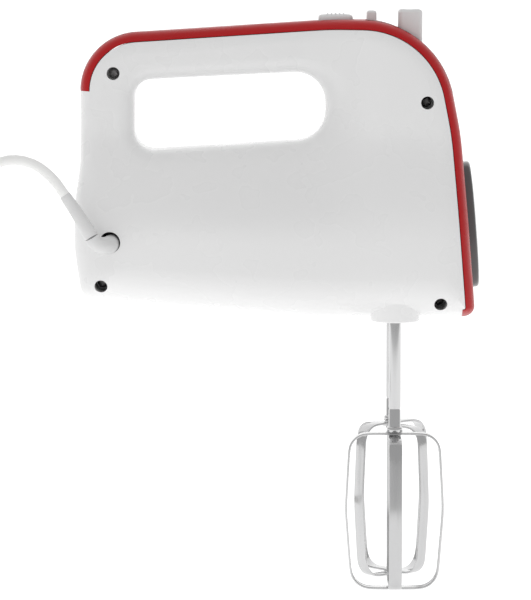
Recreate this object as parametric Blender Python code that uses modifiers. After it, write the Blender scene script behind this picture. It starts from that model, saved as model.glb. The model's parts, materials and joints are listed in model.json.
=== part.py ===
"""Hand mixer: two white side shells, a red trim cover, the drive inside, two wire beaters and a mains lead.

+X points to the front, +Z up and +Y to the mixer's left. The origin is the middle of the handle's grip.
Lengths below are in millimetres and are turned into metres when a mesh is made.
"""

from math import atan2, ceil, cos, pi, radians, sin, sqrt, tan

import bmesh
import bpy
import numpy as np
from mathutils import Matrix, Vector

MM = 0.001
GAP = 0.3
WALL = 2.4

# Side outline of the body: x, z and corner radius, clockwise from the top of the handle's rear end.
BODY_CORNERS = [
    (-74.0, 7.0, 29.0),
    (50.0, 15.0, 200.0),
    (103.2, 14.6, 46.0),
    (114.3, -42.0, 150.0),
    (121.4, -131.7, 6.0),
    (40.0, -130.8, 300.0),
    (-72.8, -123.4, 8.0),
    (-76.4, -98.0, 60.0),
    (-76.4, -75.0, 60.0),
    (-74.0, -57.0, 60.0),
]
BODY_MAIN = (0, 2, 4, 6)
HOLE_CORNERS = [(-47.2, -14.9, 9.0), (47.5, -10.2, 15.0), (47.5, -44.0, 15.0), (-47.2, -50.0, 10.0)]
HOLE_MAIN = (0, 1, 2, 3)

# Mesh of a side: columns on each of its four sides, and the distances of its rows from either outline.
SIDE_STEPS = (11, 8, 11, 8)
EDGE_ROWS = (0.0, 1.1, 4.6, 11.5)
HOLE_ROWS = (0.0, 0.9, 3.6, 9.0)
MIDDLE_ROWS = 4

# How the side surface turns in towards an edge: (radius seen from the side, depth across the width).
OUTER_EDGE = {"top": (11.0, 11.0), "front": (12.0, 12.0), "bottom": (19.0, 26.0), "rear": (10.5, 10.5)}
HOLE_EDGE = {"top": (8.0, 8.0), "front": (17.0, 11.0), "bottom": (9.0, 9.0), "rear": (7.0, 8.0)}

# Distance over which the edge sizes of neighbouring sides blend into each other.
NORMAL_BLEND = 5.0

GRIP_HALF_WIDTH = 15.5
FRONT_HALF_WIDTH = 27.0
MOTOR_HALF_WIDTH = 44.0
MOTOR_MID_X = 8.0

TRIM_DEPTH = 4.7
TRIM_THICKNESS = 2.2
TRIM_ARC_STEPS = 5
CONTROL_OPENINGS = [
    ("turbo_opening", (43.4, -7.6, 2.0), (61.6, 7.6, 30.0)),
    ("speed_opening", (67.3, -8.6, 2.0), (81.4, 8.6, 30.0)),
    ("eject_opening", (83.0, -9.6, -12.0), (96.0, 9.6, 30.0)),
]

PANEL_MIDDLE_Z = -87.0
PANEL_HALF_WIDTH = 18.5
PANEL_HALF_HEIGHT = 31.5

SWITCH_DECK_Z = -4.0
EJECT_DECK_Z = -18.0

BEATER_X = 81.8
BEATER_SPACING = 45.0
BEATER_TOP = -188.7
BEATER_BOTTOM = -267.0
STRIP_WIDTH = 6.4
STRIP_THICKNESS = 1.1
STEM_RADIUS = 3.0
STEM_TOP = -106.0

MOTOR_Z = -92.0
SHAFT_RADIUS = 2.5
FAN_BLADES = 9
WORM_RADIUS = 6.6
WORM_THREAD = 0.75
WORM_STARTS = 4
WHEEL_TEETH = 36
WHEEL_RADIUS = BEATER_SPACING / 2 - WORM_RADIUS - GAP
WORM_LEAD = 2 * pi * WHEEL_RADIUS * WORM_STARTS / WHEEL_TEETH
SPINDLE_RADIUS = 5.0
SPINDLE_TOP = -86.8
SPINDLE_BOTTOM = -132.2
EJECT_ROD_X = 88.5
EJECT_BAR_Z = -77.5

SCREW_PLACES = {
    "rear_upper": (-57.3, -11.5),
    "front_upper": (97.3, -25.5),
    "rear_lower": (-62.9, -115.4),
    "front_lower": (103.9, -124.0),
}
COUNTERBORE_RADIUS = 3.2
COUNTERBORE_FLOOR = -6.0

CORD_RADIUS = 2.5
CORD_EXIT = (-58.3, -33.0, -93.5)
ELBOW_ROUTE = [
    (-58.0, -28.0, -93.5),
    (-58.5, -36.0, -94.0),
    (-61.2, -41.2, -94.4),
    (-64.8, -43.4, -92.9),
    (-66.6, -43.9, -90.3),
]
BOOT_ROUTE = [(-67.1, -44.0, -89.6), (-70.6, -44.3, -83.6), (-75.0, -44.5, -76.6), (-79.7, -44.4, -69.6)]
CORD_ROUTE = [
    (-79.9, -44.4, -69.3),
    (-86.2, -44.0, -61.0),
    (-95.5, -43.0, -54.4),
    (-107.5, -42.0, -52.8),
    (-119.0, -41.0, -58.4),
    (-127.5, -40.3, -71.0),
    (-132.0, -40.0, -90.0),
    (-134.5, -40.0, -125.0),
    (-135.5, -40.0, -165.0),
    (-135.6, -40.0, -205.0),
    (-135.4, -38.6, -232.0),
    (-135.0, -32.0, -250.5),
    (-134.6, -20.0, -261.5),
    (-134.3, -6.0, -264.5),
    (-134.2, 8.0, -264.5),
]
COIL_CENTRE = (-172.0, 8.0)
COIL_RADIUS = 27.5
COIL_HALF_WIDTH = 7.5
COIL_HEIGHT = 9.6
FLOOR = BEATER_BOTTOM
TIE_THICKNESS = 0.5


# ---------------------------------------------------------------- scene helpers


def clear_scene():
    for old in list(bpy.data.objects):
        bpy.data.objects.remove(old, do_unlink=True)
    for old in list(bpy.data.collections):
        bpy.data.collections.remove(old)


def add_collection(name):
    made = bpy.data.collections.new(name)
    bpy.context.scene.collection.children.link(made)
    return made


clear_scene()
PARTS = add_collection("hand_mixer")
CUTTERS = add_collection("cutters")
CUTTERS.hide_render = True


def material(name, colour, roughness, metallic=0.0):
    made = bpy.data.materials.new(name)
    made.use_nodes = True
    shader = made.node_tree.nodes["Principled BSDF"]
    shader.inputs["Base Color"].default_value = (*colour, 1.0)
    shader.inputs["Roughness"].default_value = roughness
    shader.inputs["Metallic"].default_value = metallic
    made.diffuse_color = (*colour, 1.0)
    return made


WHITE = material("white_shell", (0.86, 0.86, 0.86), 0.3)
RED = material("red_trim", (0.45, 0.012, 0.014), 0.25)
BLACK = material("black_gloss", (0.012, 0.012, 0.014), 0.12)
GREY = material("grey_control", (0.55, 0.55, 0.56), 0.4)
STEEL = material("bright_steel", (0.62, 0.62, 0.63), 0.22, 1.0)
SCREW_STEEL = material("screw_steel", (0.10, 0.10, 0.11), 0.45, 1.0)
IRON = material("core_iron", (0.20, 0.20, 0.22), 0.5, 1.0)
COPPER = material("copper_winding", (0.60, 0.24, 0.10), 0.35, 1.0)
BRASS = material("bearing_brass", (0.66, 0.50, 0.22), 0.3, 1.0)
NYLON = material("gear_nylon", (0.80, 0.77, 0.66), 0.45)
FRAME_GREY = material("frame_plastic", (0.16, 0.16, 0.17), 0.55)
CARBON = material("brush_carbon", (0.03, 0.03, 0.03), 0.7)
BOARD = material("switch_board", (0.05, 0.16, 0.08), 0.5)
LEAD = material("lead_grey", (0.62, 0.62, 0.62), 0.45)
LEAD_WHITE = material("lead_white", (0.80, 0.80, 0.80), 0.4)


def add_object(name, mesh, finish=None, smooth_angle=35):
    """Links a mesh as a part, or as a hidden cutter when it has no finish."""
    made = bpy.data.objects.new(name, mesh)
    if finish is None:
        CUTTERS.objects.link(made)
        made.hide_render = True
        made.display_type = "WIRE"
        return made
    PARTS.objects.link(made)
    mesh.materials.clear()
    mesh.materials.append(finish)
    if smooth_angle:
        mesh.shade_smooth()
        mesh.set_sharp_from_angle(angle=radians(smooth_angle))
    return made


def mesh_from(bm, name):
    bmesh.ops.recalc_face_normals(bm, faces=bm.faces[:])
    mesh = bpy.data.meshes.new(name)
    bm.to_mesh(mesh)
    bm.free()
    return mesh


def set_origin(obj, place):
    """Puts the object's origin at a point on its joint's axis without moving its shape."""
    obj.data.transform(Matrix.Translation(-Vector(place) * MM))
    obj.location = Vector(place) * MM


def box_mesh(name, low, high, bevel=0.0, segments=2):
    bm = bmesh.new()
    size = [b - a for a, b in zip(low, high)]
    middle = [(a + b) / 2 for a, b in zip(low, high)]
    bmesh.ops.create_cube(bm, size=1.0)
    bmesh.ops.scale(bm, vec=Vector(size) * MM, verts=bm.verts)
    bmesh.ops.translate(bm, vec=Vector(middle) * MM, verts=bm.verts)
    if bevel:
        bmesh.ops.bevel(
            bm, geom=bm.edges[:], offset=bevel * MM, segments=segments, profile=0.5, affect="EDGES"
        )
    return mesh_from(bm, name)


def cylinder_mesh(name, start, end, radius, end_radius=None, segments=24):
    """A cylinder or cone between two points."""
    start, end = Vector(start) * MM, Vector(end) * MM
    bm = bmesh.new()
    bmesh.ops.create_cone(
        bm,
        cap_ends=True,
        segments=segments,
        radius1=radius * MM,
        radius2=(radius if end_radius is None else end_radius) * MM,
        depth=(end - start).length,
    )
    turn = (end - start).to_track_quat("Z", "Y").to_matrix().to_4x4()
    bmesh.ops.transform(bm, matrix=Matrix.Translation((start + end) / 2) @ turn, verts=bm.verts)
    return mesh_from(bm, name)


def turned(name, profile, finish, origin, direction="Z", steps=24):
    """Turns a closed (radius, height) profile, listed from its outer top down, about an axis."""
    mesh = bpy.data.meshes.new(name)
    points = [(r * MM, 0.0, h * MM) for r, h in profile]
    edges = [(i, (i + 1) % len(points)) for i in range(len(points))]
    if profile[0][0] == 0.0 and profile[-1][0] == 0.0:
        edges.pop()
    mesh.from_pydata(points, edges, [])
    made = add_object(name, mesh, finish, smooth_angle=0)
    screw = made.modifiers.new("turn", "SCREW")
    screw.steps = steps
    screw.render_steps = steps
    screw.use_merge_vertices = True
    screw.merge_threshold = 0.00001
    screw.use_smooth_shade = False
    made.location = Vector(origin) * MM
    if direction == "X":
        made.rotation_euler = (0.0, pi / 2, 0.0)
    if direction == "Y":
        made.rotation_euler = (-pi / 2, 0.0, 0.0)
    return made


def tube(name, points, radius, finish, sides=2, radii=None):
    """A round bar along a list of points."""
    curve = bpy.data.curves.new(name, "CURVE")
    curve.dimensions = "3D"
    curve.bevel_depth = radius * MM
    curve.bevel_resolution = sides
    curve.use_fill_caps = True
    spline = curve.splines.new("POLY")
    spline.points.add(len(points) - 1)
    for index, place in enumerate(points):
        spline.points[index].co = (*(Vector(place) * MM), 1.0)
        if radii:
            spline.points[index].radius = radii[index]
    made = bpy.data.objects.new(name, curve)
    PARTS.objects.link(made)
    curve.materials.append(finish)
    return made


def boolean(obj, cutter, operation="DIFFERENCE"):
    made = obj.modifiers.new(operation.lower(), "BOOLEAN")
    made.operation = operation
    made.object = cutter


def apply_modifiers(obj):
    """Replaces the object's mesh by its evaluated one."""
    bpy.context.view_layer.update()
    graph = bpy.context.evaluated_depsgraph_get()
    mesh = bpy.data.meshes.new_from_object(obj.evaluated_get(graph))
    obj.modifiers.clear()
    obj.data = mesh


def smooth_through(points, spacing):
    """Points about one spacing apart on a smooth curve through the given ones."""
    padded = [points[0], *points, points[-1]]
    found = []
    for before, a, b, after in zip(padded, padded[1:], padded[2:], padded[3:]):
        p0, p1, p2, p3 = (Vector(p) for p in (before, a, b, after))
        count = max(1, round((p2 - p1).length / spacing))
        for step in range(count):
            t = step / count
            found.append(
                0.5 * (2 * p1 + (p2 - p0) * t + (2 * p0 - 5 * p1 + 4 * p2 - p3) * t**2)
                + 0.5 * (3 * p1 - p0 - 3 * p2 + p3) * t**3
            )
    return [*found, Vector(points[-1])]


# ---------------------------------------------------------------- body outline and surface


def rounded_outline(corners, steps=12):
    """The outline's points, and the index of the point in the middle of each corner's arc."""
    points, middles = [], []
    count = len(corners)
    for i, (x, z, radius) in enumerate(corners):
        corner = Vector((x, z))
        back = (Vector(corners[i - 1][:2]) - corner).normalized()
        ahead = (Vector(corners[(i + 1) % count][:2]) - corner).normalized()
        half = back.angle(ahead) / 2
        centre = corner + (back + ahead).normalized() * (radius / sin(half))
        first = corner + back * (radius / tan(half)) - centre
        last = corner + ahead * (radius / tan(half)) - centre
        start = atan2(first.y, first.x)
        sweep = atan2(last.y, last.x) - start
        sweep = (sweep + pi) % (2 * pi) - pi
        middles.append(len(points) + steps // 2)
        for step in range(steps + 1):
            angle = start + sweep * step / steps
            points.append(centre + Vector((cos(angle), sin(angle))) * radius)
    return points, middles


def stations(corners, main):
    """Points around an outline, with the same number on each of its four sides."""
    points, middles = rounded_outline(corners)
    marks = [middles[i] for i in main]
    found = []
    for k, steps in enumerate(SIDE_STEPS):
        a, b = marks[k], marks[(k + 1) % 4]
        path = points[a : b + 1] if b > a else points[a:] + points[: b + 1]
        lengths = [0.0]
        for p, q in zip(path, path[1:]):
            lengths.append(lengths[-1] + (q - p).length)
        for step in range(steps):
            want = lengths[-1] * step / steps
            i = max(n for n, s in enumerate(lengths[:-1]) if s <= want)
            share = (want - lengths[i]) / max(lengths[i + 1] - lengths[i], 1e-9)
            found.append(path[i].lerp(path[i + 1], share))
    return found


def marked_edge(corners, spacing=2.0):
    """(points, outward normals) close together along an outline, for measuring distances to it."""
    points, _ = rounded_outline(corners)
    places, normals = [], []
    for p, q in zip(points, points[1:] + points[:1]):
        along = q - p
        if along.length < 1e-6:
            continue
        count = ceil(along.length / spacing)
        for k in range(count):
            places.append(p + along * (k + 0.5) / count)
            normals.append(Vector((-along.y, along.x)).normalized())
    return np.array(places), np.array(normals)


BODY_EDGE = marked_edge(BODY_CORNERS)
HOLE_EDGE_PATH = marked_edge(HOLE_CORNERS)


def distance_to(edge, place):
    """The distance from a place to an outline, and the outline's mean outward normal near there."""
    places, normals = edge
    apart = np.array(place) - places
    across = np.abs(np.einsum("ij,ij->i", apart, normals))
    reach = np.linalg.norm(apart, axis=1)
    nearest = int(np.argmin(reach))
    weights = np.exp((reach[nearest] - reach) / NORMAL_BLEND)
    mean = (normals * weights[:, None]).sum(axis=0)
    return float(min(across[nearest], reach[nearest])), Vector(mean).normalized()


def edge_size(table, normal):
    """Mixes the four sides' edge sizes by the direction of an outward normal."""
    shares = {
        "top": max(normal.y, 0.0) ** 2,
        "bottom": max(-normal.y, 0.0) ** 2,
        "front": max(normal.x, 0.0) ** 2,
        "rear": max(-normal.x, 0.0) ** 2,
    }
    radius = sum(share * table[side][0] for side, share in shares.items())
    depth = sum(share * table[side][1] for side, share in shares.items())
    return radius, depth


def ease(t):
    t = min(max(t, 0.0), 1.0)
    return t * t * (3 - 2 * t)


def full_half_width(x, z):
    """Half of the body's width away from its edges."""
    upper = GRIP_HALF_WIDTH + (FRONT_HALF_WIDTH - GRIP_HALF_WIDTH) * ease((x - 36) / 40)
    if x > MOTOR_MID_X:
        lower = MOTOR_HALF_WIDTH - 6.5 * ((x - MOTOR_MID_X) / 113) ** 2
    else:
        lower = MOTOR_HALF_WIDTH - 13.0 * ((x - MOTOR_MID_X) / 84) ** 2
    down = min(max((-45 - z) / 46, 0.0), 1.0) ** 0.7
    return upper + (lower - upper) * ease(down)


def roundness(t):
    t = min(max(t, 0.0), 1.0)
    return sqrt(1 - (1 - t) ** 2)


def half_width(place, inset=0.0):
    """Half of the body's width at a place in the side view, or of the same form with all its faces moved in."""
    distance, normal = distance_to(BODY_EDGE, place)
    radius, depth = edge_size(OUTER_EDGE, normal)
    half = full_half_width(place.x, place.y) - inset
    half -= (depth - inset / 2) * (1 - roundness((distance - inset) / (radius - inset)))
    distance, normal = distance_to(HOLE_EDGE_PATH, place)
    radius, depth = edge_size(HOLE_EDGE, normal)
    return half - depth * (1 - roundness(distance / radius))


def side_rows(p, q):
    """Points (x, half width, z) from the body's outline to the finger hole, at one station."""
    length = (q - p).length
    room = min(1.0, (length - 3.0) / (EDGE_ROWS[-1] + HOLE_ROWS[-1]))
    first, last = EDGE_ROWS[-1] * room, length - HOLE_ROWS[-1] * room
    distances = [row * room for row in EDGE_ROWS]
    distances += [first + (last - first) * k / (MIDDLE_ROWS + 1) for k in range(1, MIDDLE_ROWS + 1)]
    distances += [length - row * room for row in reversed(HOLE_ROWS)]
    rows = []
    for distance in distances:
        place = p.lerp(q, distance / length)
        rows.append((place.x, half_width(place), place.y))
    return rows


def side_surface(name, side, seam):
    """One side of the body as an open surface that ends at the seam."""
    bm = bmesh.new()
    grid = []
    for outer, hole in zip(stations(BODY_CORNERS, BODY_MAIN), stations(HOLE_CORNERS, HOLE_MAIN)):
        rows = side_rows(outer, hole)
        rows = [(rows[0][0], seam, rows[0][2]), *rows, (rows[-1][0], seam, rows[-1][2])]
        grid.append([bm.verts.new((x * MM, side * y * MM, z * MM)) for x, y, z in rows])
    for a, b in zip(grid, grid[1:] + grid[:1]):
        for k in range(len(a) - 1):
            quad = (a[k], b[k], b[k + 1], a[k + 1])
            bm.faces.new(quad[::-1] if side < 0 else quad)
    mesh = bpy.data.meshes.new(name)
    bm.to_mesh(mesh)
    bm.free()
    return mesh


# ---------------------------------------------------------------- trim cover


def trim_path():
    """(point, outward normal) along the trim cover, from the handle's rear end to the foot of the front."""
    points, _ = rounded_outline(BODY_CORNERS, steps=TRIM_ARC_STEPS)
    path = points[: 5 * (TRIM_ARC_STEPS + 1)]
    found = []
    for i, place in enumerate(path):
        before, after = path[max(i - 1, 0)], path[min(i + 1, len(path) - 1)]
        along = (after - before).normalized()
        if (after - before).length < 0.2:
            continue
        found.append((place, Vector((-along.y, along.x))))
    return found


def trim_section(place, normal):
    """The trim cover's closed cross-section at one place of the outline, as (depth from the outline, y)."""
    outer = [(d, half_width(place - normal * d)) for d in (TRIM_DEPTH, 2.8, 1.3, 0.4, 0.0)]
    depths = (TRIM_DEPTH, 3.4, 2.6, TRIM_THICKNESS)
    inner = [(d, half_width(place - normal * d, TRIM_THICKNESS)) for d in depths]
    left = [*outer, *[(d, -y) for d, y in reversed(outer)]]
    return left + [(d, -y) for d, y in inner] + [(d, y) for d, y in reversed(inner)]


def build_trim_cover():
    bm = bmesh.new()
    rings = []
    for place, normal in trim_path():
        ring = []
        for d, y in trim_section(place, normal):
            spot = place - normal * d
            ring.append(bm.verts.new((spot.x * MM, y * MM, spot.y * MM)))
        rings.append(ring)
    for a, b in zip(rings, rings[1:]):
        for k in range(len(a)):
            n = (k + 1) % len(a)
            bm.faces.new((a[k], a[n], b[n], b[k]))
    bm.faces.new(rings[0])
    bm.faces.new(rings[-1][::-1])
    made = add_object("trim_cover", mesh_from(bm, "trim_cover"), RED)
    for name, low, high in CONTROL_OPENINGS:
        boolean(made, add_object(name, box_mesh(name, low, high)))
    return made


def trim_zone():
    """The space that the trim cover takes up, which the shells leave free."""
    bm = bmesh.new()
    rings = []
    for place, normal in trim_path():
        outside, inside = place + normal * 8, place - normal * (TRIM_DEPTH + GAP)
        corners = [(outside, -60), (outside, 60), (inside, 60), (inside, -60)]
        rings.append([bm.verts.new((p.x * MM, y * MM, p.y * MM)) for p, y in corners])
    for a, b in zip(rings, rings[1:]):
        for k in range(4):
            n = (k + 1) % 4
            bm.faces.new((a[k], a[n], b[n], b[k]))
    bm.faces.new(rings[0])
    bm.faces.new(rings[-1][::-1])
    return add_object("trim_zone", mesh_from(bm, "trim_zone"))


# ---------------------------------------------------------------- side shells


def screw_seats(side):
    """(bosses, bores, mouths) of the four housing screws on one side. Only the right side has mouths."""
    bosses, bores, mouths = bmesh.new(), bmesh.new(), bmesh.new()
    for x, z in SCREW_PLACES.values():
        if side < 0:
            cylinder_into(bosses, (x, -60, z), (x, -GAP / 2, z), 5.0, 14)
            cylinder_into(mouths, (x, -60, z), (x, COUNTERBORE_FLOOR, z), COUNTERBORE_RADIUS, 16)
            cylinder_into(bores, (x, COUNTERBORE_FLOOR - 1, z), (x, 5, z), 1.8, 10)
        else:
            cylinder_into(bosses, (x, 60, z), (x, GAP / 2, z), 4.2, 12)
            cylinder_into(bores, (x, -5, z), (x, 9.5, z), 1.8, 10)
    return mesh_from(bosses, "bosses"), mesh_from(bores, "bores"), mesh_from(mouths, "mouths")


def cylinder_into(bm, start, end, radius, segments):
    mesh = cylinder_mesh("piece", start, end, radius, segments=segments)
    bm.from_mesh(mesh)
    bpy.data.meshes.remove(mesh)


def build_shell(side):
    """A side shell: -1 is the mixer's right side and +1 its left."""
    name = "right_shell" if side < 0 else "left_shell"
    shell = add_object(name, side_surface(name, side, GAP / 2), WHITE)
    wall = shell.modifiers.new("wall", "SOLIDIFY")
    wall.thickness = WALL * MM
    wall.offset = -1
    wall.use_even_offset = True
    wall.thickness_clamp = 1.0

    if side < 0:
        x, _, z = CORD_EXIT
        outlet = cylinder_mesh("outlet", (x, -60, z), (x, -20, z), 5.2, segments=24)
        boolean(shell, add_object("cord_outlet", outlet))
    solid = add_object(name + "_limit", closed_side(side))
    bosses, bores, mouths = screw_seats(side)
    bosses = add_object(name + "_bosses", bosses)
    boolean(bosses, solid, "INTERSECT")
    boolean(shell, bosses, "UNION")

    y = side * BEATER_SPACING / 2
    collar = cylinder_mesh("collar", (BEATER_X, y, -133.3), (BEATER_X, y, -116.0), 11.9, 14.6, 24)
    collar = add_object(name + "_collar", collar)
    edge = collar.modifiers.new("edge", "BEVEL")
    edge.width = 1.2 * MM
    edge.segments = 2
    edge.limit_method = "ANGLE"
    boolean(shell, collar, "UNION")

    bore = cylinder_mesh("bore", (BEATER_X, y, -131.2), (BEATER_X, y, -100.0), 8.4, segments=24)
    boolean(shell, add_object(name + "_bush_bore", bore))
    mouth = cylinder_mesh("mouth", (BEATER_X, y, -140.0), (BEATER_X, y, -120.0), 5.7, segments=24)
    boolean(shell, add_object(name + "_spindle_hole", mouth))
    boolean(shell, add_object(name + "_screw_bores", bores))
    if side < 0:
        boolean(shell, add_object(name + "_screw_mouths", mouths))
    boolean(shell, TRIM_ZONE)
    return shell


def closed_side(side):
    """The side of the body as a solid a little smaller than the shell, which trims what stands inside."""
    mesh = side_surface("limit", side, GAP / 2)
    bm = bmesh.new()
    bm.from_mesh(mesh)
    bmesh.ops.translate(bm, vec=(0, -side * 1.2 * MM, 0), verts=bm.verts)
    bpy.data.meshes.remove(mesh)
    rims = [e for e in bm.edges if e.is_boundary]
    for edge in rims:
        for vert in edge.verts:
            vert.co.y = side * GAP / 2 * MM
    bmesh.ops.triangle_fill(bm, use_beauty=True, edges=rims)
    return mesh_from(bm, "limit")



# ---------------------------------------------------------------- front panel and controls


def build_front_panel():
    """An oval domed panel that stands 4.8 mm proud of the trim cover's front."""
    foot, head = Vector((114.3, -42.0)), Vector((121.4, -131.7))
    down = (head - foot).normalized()
    out = Vector((-down.y, down.x))
    middle = foot + down * (PANEL_MIDDLE_Z - foot.y) / down.y + out * GAP
    levels = [(0.0, 1.0), (2.2, 1.0), (3.6, 0.965), (4.5, 0.87), (4.9, 0.68), (5.0, 0.35)]
    steps = 32
    bm = bmesh.new()
    rings = []
    for height, scale in levels:
        ring = []
        for k in range(steps):
            angle = 2 * pi * k / steps
            y = PANEL_HALF_WIDTH * scale * power(cos(angle))
            run = PANEL_HALF_HEIGHT * (1 - (1 - scale) * 0.75) * power(sin(angle))
            spot = middle + down * run + out * height
            ring.append(bm.verts.new((spot.x * MM, y * MM, spot.y * MM)))
        rings.append(ring)
    for a, b in zip(rings, rings[1:]):
        for k in range(steps):
            n = (k + 1) % steps
            bm.faces.new((a[k], a[n], b[n], b[k]))
    bm.faces.new(rings[0])
    bm.faces.new(rings[-1])
    add_object("front_panel", mesh_from(bm, "front_panel"), BLACK, 50)


def power(value, exponent=0.88):
    """A superellipse's sine or cosine."""
    return abs(value) ** exponent * (1 if value >= 0 else -1)


def joined(name, meshes, finish, bevel=0.0, origin=None):
    """One solid from overlapping meshes."""
    first = add_object(name, meshes[0], finish)
    for index, mesh in enumerate(meshes[1:]):
        boolean(first, add_object(f"{name}_piece_{index}", mesh), "UNION")
    if bevel:
        edge = first.modifiers.new("edge", "BEVEL")
        edge.width = bevel * MM
        edge.segments = 1
        edge.limit_method = "ANGLE"
    if origin:
        apply_modifiers(first)
        set_origin(first, origin)
    return first


def helix(radius, low, high, turns, per_turn=8):
    steps = turns * per_turn
    return [
        (
            radius * cos(2 * pi * k / per_turn),
            radius * sin(2 * pi * k / per_turn),
            low + (high - low) * k / steps,
        )
        for k in range(steps + 1)
    ]


def build_controls():
    cap = box_mesh("turbo_cap", (44.0, -7.0, 6.0), (61.0, 7.0, 18.0), 1.0)
    flange = box_mesh("turbo_flange", (42.0, -9.0, 7.0), (63.0, 9.0, 8.6))
    plunger = cylinder_mesh("turbo_plunger", (52.5, 0, 0.4), (52.5, 0, 6.6), 1.6, segments=12)
    joined("turbo_button", [cap, flange, plunger], GREY, origin=(52.5, 0, 12))

    tab = box_mesh("speed_tab", (68.0, -8.0, 5.0), (72.7, 8.0, 19.4), 0.9)
    runner = box_mesh("speed_runner", (65.6, -10.5, 4.2), (74.6, 10.5, 6.2), 0.3, 1)
    joined("speed_slider", [tab, runner], GREY, origin=(70.3, 0, 6))

    cap = box_mesh("eject_cap", (83.6, -9.0, -5.0), (95.4, 9.0, 20.4), 1.4)
    flange = box_mesh("eject_flange", (81.8, -11.0, -7.0), (97.2, 11.0, -4.6))
    joined("eject_button", [cap, flange], GREY, origin=(89.5, 0, 8))

    rod = cylinder_mesh("rod", (EJECT_ROD_X, 0, EJECT_BAR_Z + 0.3), (EJECT_ROD_X, 0, -7.3), 2.6, segments=14)
    low = BEATER_SPACING / 2 + 4.5
    top = EJECT_BAR_Z + 1.5
    bar = box_mesh("bar", (BEATER_X - 4.5, -low, top - 3.0), (EJECT_ROD_X + 4, low, top), 0.5, 1)
    joined("ejector_plate", [bar, rod], FRAME_GREY, origin=(EJECT_ROD_X, 0, EJECT_BAR_Z))

    places = helix(4.6, EJECT_DECK_Z + 1.0, -8.3, 4)
    spring = tube("eject_spring", [(EJECT_ROD_X + x, y, z) for x, y, z in places], 0.45, STEEL, 1)
    spring.data.bevel_resolution = 1
    places = helix(3.4, SWITCH_DECK_Z + 0.8, 6.4 - 0.8, 3)
    tube("turbo_spring", [(52.5 + x, y, z) for x, y, z in places], 0.35, STEEL, 1)


def build_decks():
    """The carriers inside the handle: one for the switches and one that guides the ejector."""
    deck = box_mesh("deck", (41.0, -11.5, SWITCH_DECK_Z - 1.8), (78.0, 11.5, SWITCH_DECK_Z))
    joined("switch_carrier", [deck], FRAME_GREY, bevel=0.3)
    low = EJECT_DECK_Z
    deck = box_mesh("guide", (80.0, -18.0, low - 2.0), (100.0, 18.0, low), 0.4, 1)
    guide = add_object("ejector_guide", deck, FRAME_GREY)
    hole = cylinder_mesh("hole", (EJECT_ROD_X, 0, low - 5), (EJECT_ROD_X, 0, low + 5), 3.0)
    boolean(guide, add_object("guide_hole", hole))
    box = box_mesh("pulse", (58.0, -8.0, SWITCH_DECK_Z + GAP), (63.4, 8.0, 3.4), 0.3, 1)
    add_object("turbo_switch", box, BOARD)
    board = box_mesh("board", (64.4, -9.0, SWITCH_DECK_Z + GAP), (77.4, 9.0, 3.6), 0.3, 1)
    add_object("speed_switch", board, BOARD)


# ---------------------------------------------------------------- motor and drive


def ring(name, inner, outer, start, end, finish, steps=24, direction="X", origin=(0, 0, MOTOR_Z)):
    """A bush or disc with a bore, between two places along its axis."""
    profile = [(outer, end), (outer, start), (inner, start), (inner, end)]
    return turned(name, profile, finish, origin, direction, steps)


def build_stator():
    z = MOTOR_Z
    stack = add_object("stator_core", box_mesh("stack", (-20, -27, z - 25), (12, 27, z + 25), 4.0), IRON)
    boolean(stack, add_object("stator_bore", cylinder_mesh("b", (-30, 0, z), (30, 0, z), 17.0)))
    for y in (-20, 20):
        for up in (-8.5, 8.5):
            slot = cylinder_mesh("slot", (-30, y, z + up), (30, y, z + up), 3.5, segments=12)
            boolean(stack, add_object(f"slot_{y}_{up}", slot))
    for name, way in (("upper_field_coil", 1), ("lower_field_coil", -1)):
        arch = [(-20, 8.5), (-13, 17.5), (0, 21.5), (13, 17.5), (20, 8.5)]
        loop = [(16.0, y, z + way * up) for y, up in arch]
        loop += [(-24.0, y, z + way * up) for y, up in reversed(arch)]
        coil = tube(name, loop, 3.0, COPPER, 2)
        coil.data.splines[0].use_cyclic_u = True


def build_armature():
    bore = SHAFT_RADIUS + GAP
    shaft = [(0.0, 106.0), (SHAFT_RADIUS, 106.0), (SHAFT_RADIUS, -56.0), (0.0, -56.0)]
    turned("motor_shaft", shaft, STEEL, (0, 0, MOTOR_Z), "X", 16)
    core = [
        (12.5, 18.0), (13.0, 10.5), (16.3, 10.0), (16.3, -18.0),
        (13.0, -18.5), (12.5, -25.0), (bore, -25.0), (bore, 18.0),
    ]
    turned("armature", core, COPPER, (0, 0, MOTOR_Z), "X", 24)
    ring("commutator", bore, 9.0, -39.0, -27.0, BRASS)
    build_fan(bore)
    build_worm(bore)


def build_fan(bore):
    z = MOTOR_Z
    hub = cylinder_mesh("hub", (24, 0, z), (36, 0, z), 6.5, segments=20)
    pieces = [hub, cylinder_mesh("disc", (24, 0, z), (25.4, 0, z), 24.0, segments=32)]
    fan = add_object("cooling_fan", pieces[0], FRAME_GREY)
    boolean(fan, add_object("fan_disc", pieces[1]), "UNION")
    blades = bmesh.new()
    for k in range(FAN_BLADES):
        blade = box_mesh("blade", (24.8, -0.6, 5.5), (33.0, 0.6, 23.5))
        blade.transform(Matrix.Translation((0, 0, z * MM)) @ Matrix.Rotation(2 * pi * k / FAN_BLADES, 4, "X"))
        blades.from_mesh(blade)
    boolean(fan, add_object("fan_blades", mesh_from(blades, "blades")), "UNION")
    hole = cylinder_mesh("hole", (20, 0, z), (40, 0, z), bore, segments=16)
    boolean(fan, add_object("fan_bore", hole))


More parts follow.
